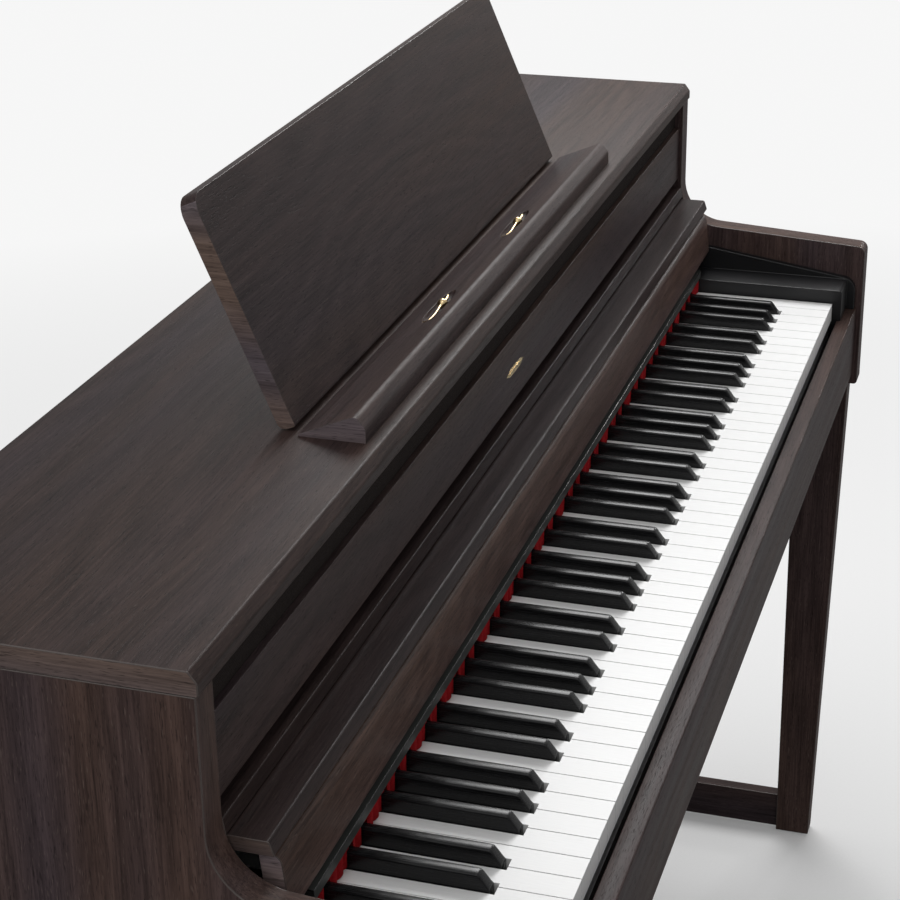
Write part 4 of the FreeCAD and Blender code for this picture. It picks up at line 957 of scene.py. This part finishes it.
def control_trims():
    """Thin bezels round the display window and the power button."""
    low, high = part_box("display_window")
    block_top = 750.5 * MM
    bezel = bmesh.new()
    gap = 0.1 * MM
    bezel_width = 1.6 * MM
    bezel_top = block_top + 0.7 * MM
    opening = ((low.x - gap, low.y - gap), (high.x + gap, high.y + gap))
    frame_bars(bezel, *opening, bezel_width, block_top, bezel_top)
    crisp(add_piece("display_bezel", bezel, "block_black", "cabinet"), 0.25 * MM)
    low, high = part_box("power_button")
    centre = ((low.x + high.x) / 2, (low.y + high.y) / 2, block_top)
    inner = (high.x - low.x) / 2 + 0.4 * MM
    ring = bmesh.new()
    profile = [
        (inner, 0.0, False),
        (inner + 0.1 * MM, 0.6 * MM, False),
        (inner + 0.8 * MM, 0.75 * MM, False),
        (inner + 1.5 * MM, 0.4 * MM, False),
        (inner + 1.6 * MM, 0.0, False),
    ]
    turned(ring, centre, (0.0, 0.0, 1.0), profile, 64, closed_ends=False)
    add_piece("power_button_ring", ring, "steel", "cabinet")


volume_knob()
control_trims()


# ---------------------------------------------------------------- sockets, speakers and screws


def jack_rings():
    """Threaded metal collars of the two headphone sockets."""
    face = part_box("headphone_jack_box")[0].y
    grid = bmesh.new()
    for socket in frame["record"]["mounts"]:
        if socket["kind"] != "bore":
            continue
        x, _, height = socket["pos_m"]
        bore = socket["dims"]["r_mm"] * MM
        profile = [
            (bore, -2.0 * MM, False),
            (bore, 0.9 * MM, False),
            (bore + 0.4 * MM, 1.3 * MM, False),
            (bore + 1.4 * MM, 1.3 * MM, False),
            (bore + 1.9 * MM, 0.9 * MM, False),
            (bore + 2.0 * MM, 0.4 * MM, False),
            (bore + 3.2 * MM, 0.35 * MM, False),
            (bore + 3.3 * MM, -0.2 * MM, False),
        ]
        turned(grid, (x, face, height), (0.0, -1.0, 0.0), profile, 64, closed_ends=False)
    add_piece("headphone_jack_rings", grid, "steel", "cabinet")


def cone_profile():
    """From the rolled surround, up the paper cone, to the top of the dust cap."""
    profile = []
    roll_radius, roll_half, roll_depth = 42.5 * MM, 3.0 * MM, 2.2 * MM
    roll_steps = 12
    for step in range(roll_steps + 1):
        angle = math.pi * step / roll_steps
        height = 2.6 * MM - roll_depth * math.sin(angle)
        profile.append((roll_radius + roll_half * math.cos(angle), height, False))
    cone_radius, cone_narrowing = 39.0 * MM, 21.0 * MM
    cone_foot, cone_rise = 3.4 * MM, 22.0 * MM
    cone_steps = 8
    for step in range(1, cone_steps + 1):
        share = step / cone_steps
        profile.append((cone_radius - cone_narrowing * share, cone_foot + cone_rise * share, False))
    cap_radius, cap_depth = 16.5 * MM, 5.0 * MM
    cap_steps = 7
    for step in range(1, cap_steps + 1):
        angle = math.pi / 2 * step / cap_steps
        height = cone_foot + cone_rise - cap_depth * math.sin(angle)
        profile.append((cap_radius * math.cos(angle) + 0.5 * MM, height, False))
    return profile


def speaker_cones():
    """Paper cone, rolled surround, dust cap and rim of each speaker under the keybed."""
    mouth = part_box("speakers")[0].z
    rim_profile = [
        (59.0 * MM, 0.0, False),
        (58.5 * MM, -0.9 * MM, False),
        (56.0 * MM, -1.3 * MM, False),
        (48.5 * MM, -1.2 * MM, False),
        (46.2 * MM, -0.3 * MM, False),
        (45.8 * MM, 1.2 * MM, False),
    ]
    speaker_x = 420.0 * MM
    speaker_y = 76.0 * MM
    for side, sign in (("left", -1), ("right", 1)):
        centre = (speaker_x * sign, speaker_y, mouth)
        cone = bmesh.new()
        turned(cone, centre, (0.0, 0.0, 1.0), cone_profile(), 72, closed_ends=False)
        add_piece(f"{side}_speaker_cone", cone, "speaker_paper", "cabinet")
        rim = bmesh.new()
        turned(rim, centre, (0.0, 0.0, 1.0), rim_profile, 72, closed_ends=False)
        add_piece(f"{side}_speaker_rim", rim, "speaker_plastic", "cabinet")


SCREW_ROWS = (640.0 * MM, 790.0 * MM, 925.0 * MM)
SCREW_COLUMNS = (-640.0 * MM, -320.0 * MM, 0.0, 320.0 * MM, 640.0 * MM)
SCREW_RADIUS = 4.0 * MM


def cross_outline(arm, stem, spin):
    """A cross in the XZ plane, turned by an angle."""
    tip = [(-stem, -arm), (stem, -arm), (stem, -stem)]
    outline = []
    for quarter in range(4):
        angle = spin + math.pi / 2 * quarter
        cosine, sine = math.cos(angle), math.sin(angle)
        outline += [(x * cosine - z * sine, 0.0, x * sine + z * cosine) for x, z in tip]
    return outline


def screw_heads():
    """Domed heads along the back panel, each with a dark cross plate set into its top as painted shade for a
    cross recess, which is not cut.
    """
    low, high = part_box("back_panel_screws")
    heads = bmesh.new()
    crosses = bmesh.new()
    tall = high.y - low.y
    arm, stem = 2.1 * MM, 0.45 * MM
    cross_sink = 0.35 * MM
    cross_depth = 0.4 * MM
    rim_slack = 0.05 * MM
    dome_steps = 8
    dome = []
    for step in range(dome_steps + 1):
        angle = math.pi / 2 * step / dome_steps
        dome.append((SCREW_RADIUS * math.cos(angle) + rim_slack, tall * math.sin(angle), False))
    for row, z in enumerate(SCREW_ROWS):
        for column, x in enumerate(SCREW_COLUMNS):
            turned(heads, (x, low.y, z), (0.0, 1.0, 0.0), dome, 40)
            cross = cross_outline(arm, stem, 0.7 * row + 1.1 * column)
            # painted shade: a dark cross plate stands for the shade inside the recess
            plate(crosses, cross, (x, high.y - cross_sink, z), (0.0, cross_depth, 0.0))
    piece = add_piece("back_panel_screw_heads", heads, "steel", "cabinet")
    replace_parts(piece, "back_panel_screws")
    crisp(add_piece("back_panel_screw_cross_painted_shade", crosses, "black_metal", "cabinet"), 0.05 * MM)


jack_rings()
speaker_cones()
screw_heads()


# ---------------------------------------------------------------- stage, lights and camera


def floor():
    """A pale floor that melts into the backdrop a few metres out and throws little light back up."""
    mesh = bpy.data.meshes.new("floor")
    grid = bmesh.new()
    bmesh.ops.create_circle(grid, cap_ends=True, radius=FLOOR_RADIUS, segments=96)
    grid.to_mesh(mesh)
    grid.free()
    plane = bpy.data.objects.new("floor", mesh)
    bpy.context.scene.collection.objects.link(plane)
    graph = Graph("floor_paper")
    speckle = graph.noise(graph.place, (260.0, 260.0, 260.0), 3.0, 0.6)
    paper = graph.mix(graph.spread(speckle, 0.3, 0.7), grey(0.79), grey(0.81))
    seen = graph.add("ShaderNodeLightPath").outputs["Is Camera Ray"]
    bounced = 0.30
    paper = graph.mix(seen, grey(bounced), paper)
    graph.finish(Base_Color=paper, Roughness=0.9, Specular_IOR_Level=0.0)
    level = graph.spread(seen, 0.0, 1.0, bounced, BACKDROP)
    glow = graph.add("ShaderNodeEmission", {"Strength": level})
    away = graph.add("ShaderNodeVectorMath", {0: graph.place}, operation="LENGTH").outputs["Value"]
    melt_start, melt_end = 0.2, 3.2
    share = graph.spread(away, melt_start, melt_end)
    blend = graph.add("ShaderNodeMixShader", {0: share, 1: graph.shader.outputs[0], 2: glow.outputs[0]})
    output = next(node for node in graph.tree.nodes if node.type == "OUTPUT_MATERIAL")
    graph.feed(output.inputs["Surface"], blend.outputs[0])
    mesh.materials.append(graph.material)


class Sky:
    """World light built from soft lobes, each a share of a direction."""

    def __init__(self):
        world = bpy.data.worlds.new("studio")
        bpy.context.scene.world = world
        world.use_nodes = True
        self.tree = world.node_tree
        self.tree.nodes.clear()
        self.direction = self.tree.nodes.new("ShaderNodeTexCoord").outputs["Generated"]

    def lobe(self, axis, start, full, strength):
        """Strength that grows from nothing at one cosine to full at another, about an axis."""
        aim = self.tree.nodes.new("ShaderNodeVectorMath")
        aim.operation = "DOT_PRODUCT"
        self.tree.links.new(self.direction, aim.inputs[0])
        aim.inputs[1].default_value = Vector(axis).normalized()
        ramp = self.tree.nodes.new("ShaderNodeMapRange")
        ramp.interpolation_type = "SMOOTHSTEP"
        self.tree.links.new(aim.outputs["Value"], ramp.inputs["Value"])
        limits = {"From Min": start, "From Max": full, "To Min": 0.0, "To Max": strength}
        for name, value in limits.items():
            ramp.inputs[name].default_value = value
        return ramp.outputs["Result"]

    def add(self, first, second):
        total = self.tree.nodes.new("ShaderNodeMath")
        total.operation = "ADD"
        for socket, value in zip(total.inputs, (first, second)):
            if isinstance(value, bpy.types.NodeSocket):
                self.tree.links.new(value, socket)
            else:
                socket.default_value = value
        return total.outputs[0]

    def finish(self, strength):
        """Lit by the lobes, while the camera itself sees an even backdrop."""
        nodes_made = self.tree.nodes
        lit = nodes_made.new("ShaderNodeBackground")
        self.tree.links.new(strength, lit.inputs["Strength"])
        seen = nodes_made.new("ShaderNodeBackground")
        seen.inputs["Color"].default_value = grey(BACKDROP)
        path = nodes_made.new("ShaderNodeLightPath")
        blend = nodes_made.new("ShaderNodeMixShader")
        self.tree.links.new(path.outputs["Is Camera Ray"], blend.inputs[0])
        self.tree.links.new(lit.outputs[0], blend.inputs[1])
        self.tree.links.new(seen.outputs[0], blend.inputs[2])
        output = nodes_made.new("ShaderNodeOutputWorld")
        self.tree.links.new(blend.outputs[0], output.inputs["Surface"])


# Each lobe's direction, the cosines where it starts and is full, and its strength.
SKY_BASE = 0.06
SKY_LOBES = {
    "overhead": ((0.0, 0.15, 1.0), 0.1, 0.95, 0.36),
    "bass_rear": ((-1.0, 0.45, 0.35), 0.1, 0.95, 0.90),
    "treble_low": ((1.0, -0.1, 0.15), 0.5, 1.0, 0.45),
    "rear": ((0.1, 1.0, 0.3), 0.1, 0.9, 0.28),
    "front": ((0.25, -1.0, 0.2), 0.15, 0.95, 0.30),
}


def sky():
    dome = Sky()
    strength = SKY_BASE
    for axis, start, full, share in SKY_LOBES.values():
        strength = dome.add(strength, dome.lobe(axis, start, full, share))
    dome.finish(strength)


def softbox(name, place, target, size, power):
    light = bpy.data.lights.new(name, "AREA")
    light.shape = "RECTANGLE"
    light.size, light.size_y = size
    light.energy = power
    lamp = bpy.data.objects.new(name, light)
    bpy.context.scene.collection.objects.link(lamp)
    lamp.location = place
    lamp.rotation_euler = (Vector(target) - Vector(place)).to_track_quat("-Z", "Y").to_euler()


def camera():
    yaw, pitch, roll = (math.radians(angle) for angle in (CAMERA_YAW, CAMERA_PITCH, CAMERA_ROLL))
    ahead = Vector((math.cos(pitch) * math.sin(yaw), math.cos(pitch) * math.cos(yaw), -math.sin(pitch)))
    level = Vector((math.cos(yaw), -math.sin(yaw), 0.0))
    upright = level.cross(ahead)
    right = level * math.cos(roll) + upright * math.sin(roll)
    up = upright * math.cos(roll) - level * math.sin(roll)
    turn = Matrix((right, up, -ahead)).transposed()
    lens = bpy.data.cameras.new("camera")
    lens.lens = CAMERA_LENS
    lens.clip_end = 300.0
    eye = bpy.data.objects.new("camera", lens)
    bpy.context.scene.collection.objects.link(eye)
    eye.matrix_world = Matrix.Translation(CAMERA_PLACE) @ turn.to_4x4()
    bpy.context.scene.camera = eye


floor()
sky()
softbox("treble_key", (1.4, 0.15, 2.0), (0.3, 0.0, 0.8), (0.9, 0.9), 20.0)
softbox("treble_strip", (3.0, -0.9, 1.8), (0.0, 0.0, 0.85), (0.25, 0.25), 7.0)
softbox("overhead", (-0.5, -0.1, 2.4), (-0.1, -0.1, 0.75), (0.25, 0.25), 1.2)
camera()
bpy.context.scene.view_settings.view_transform = "Standard"
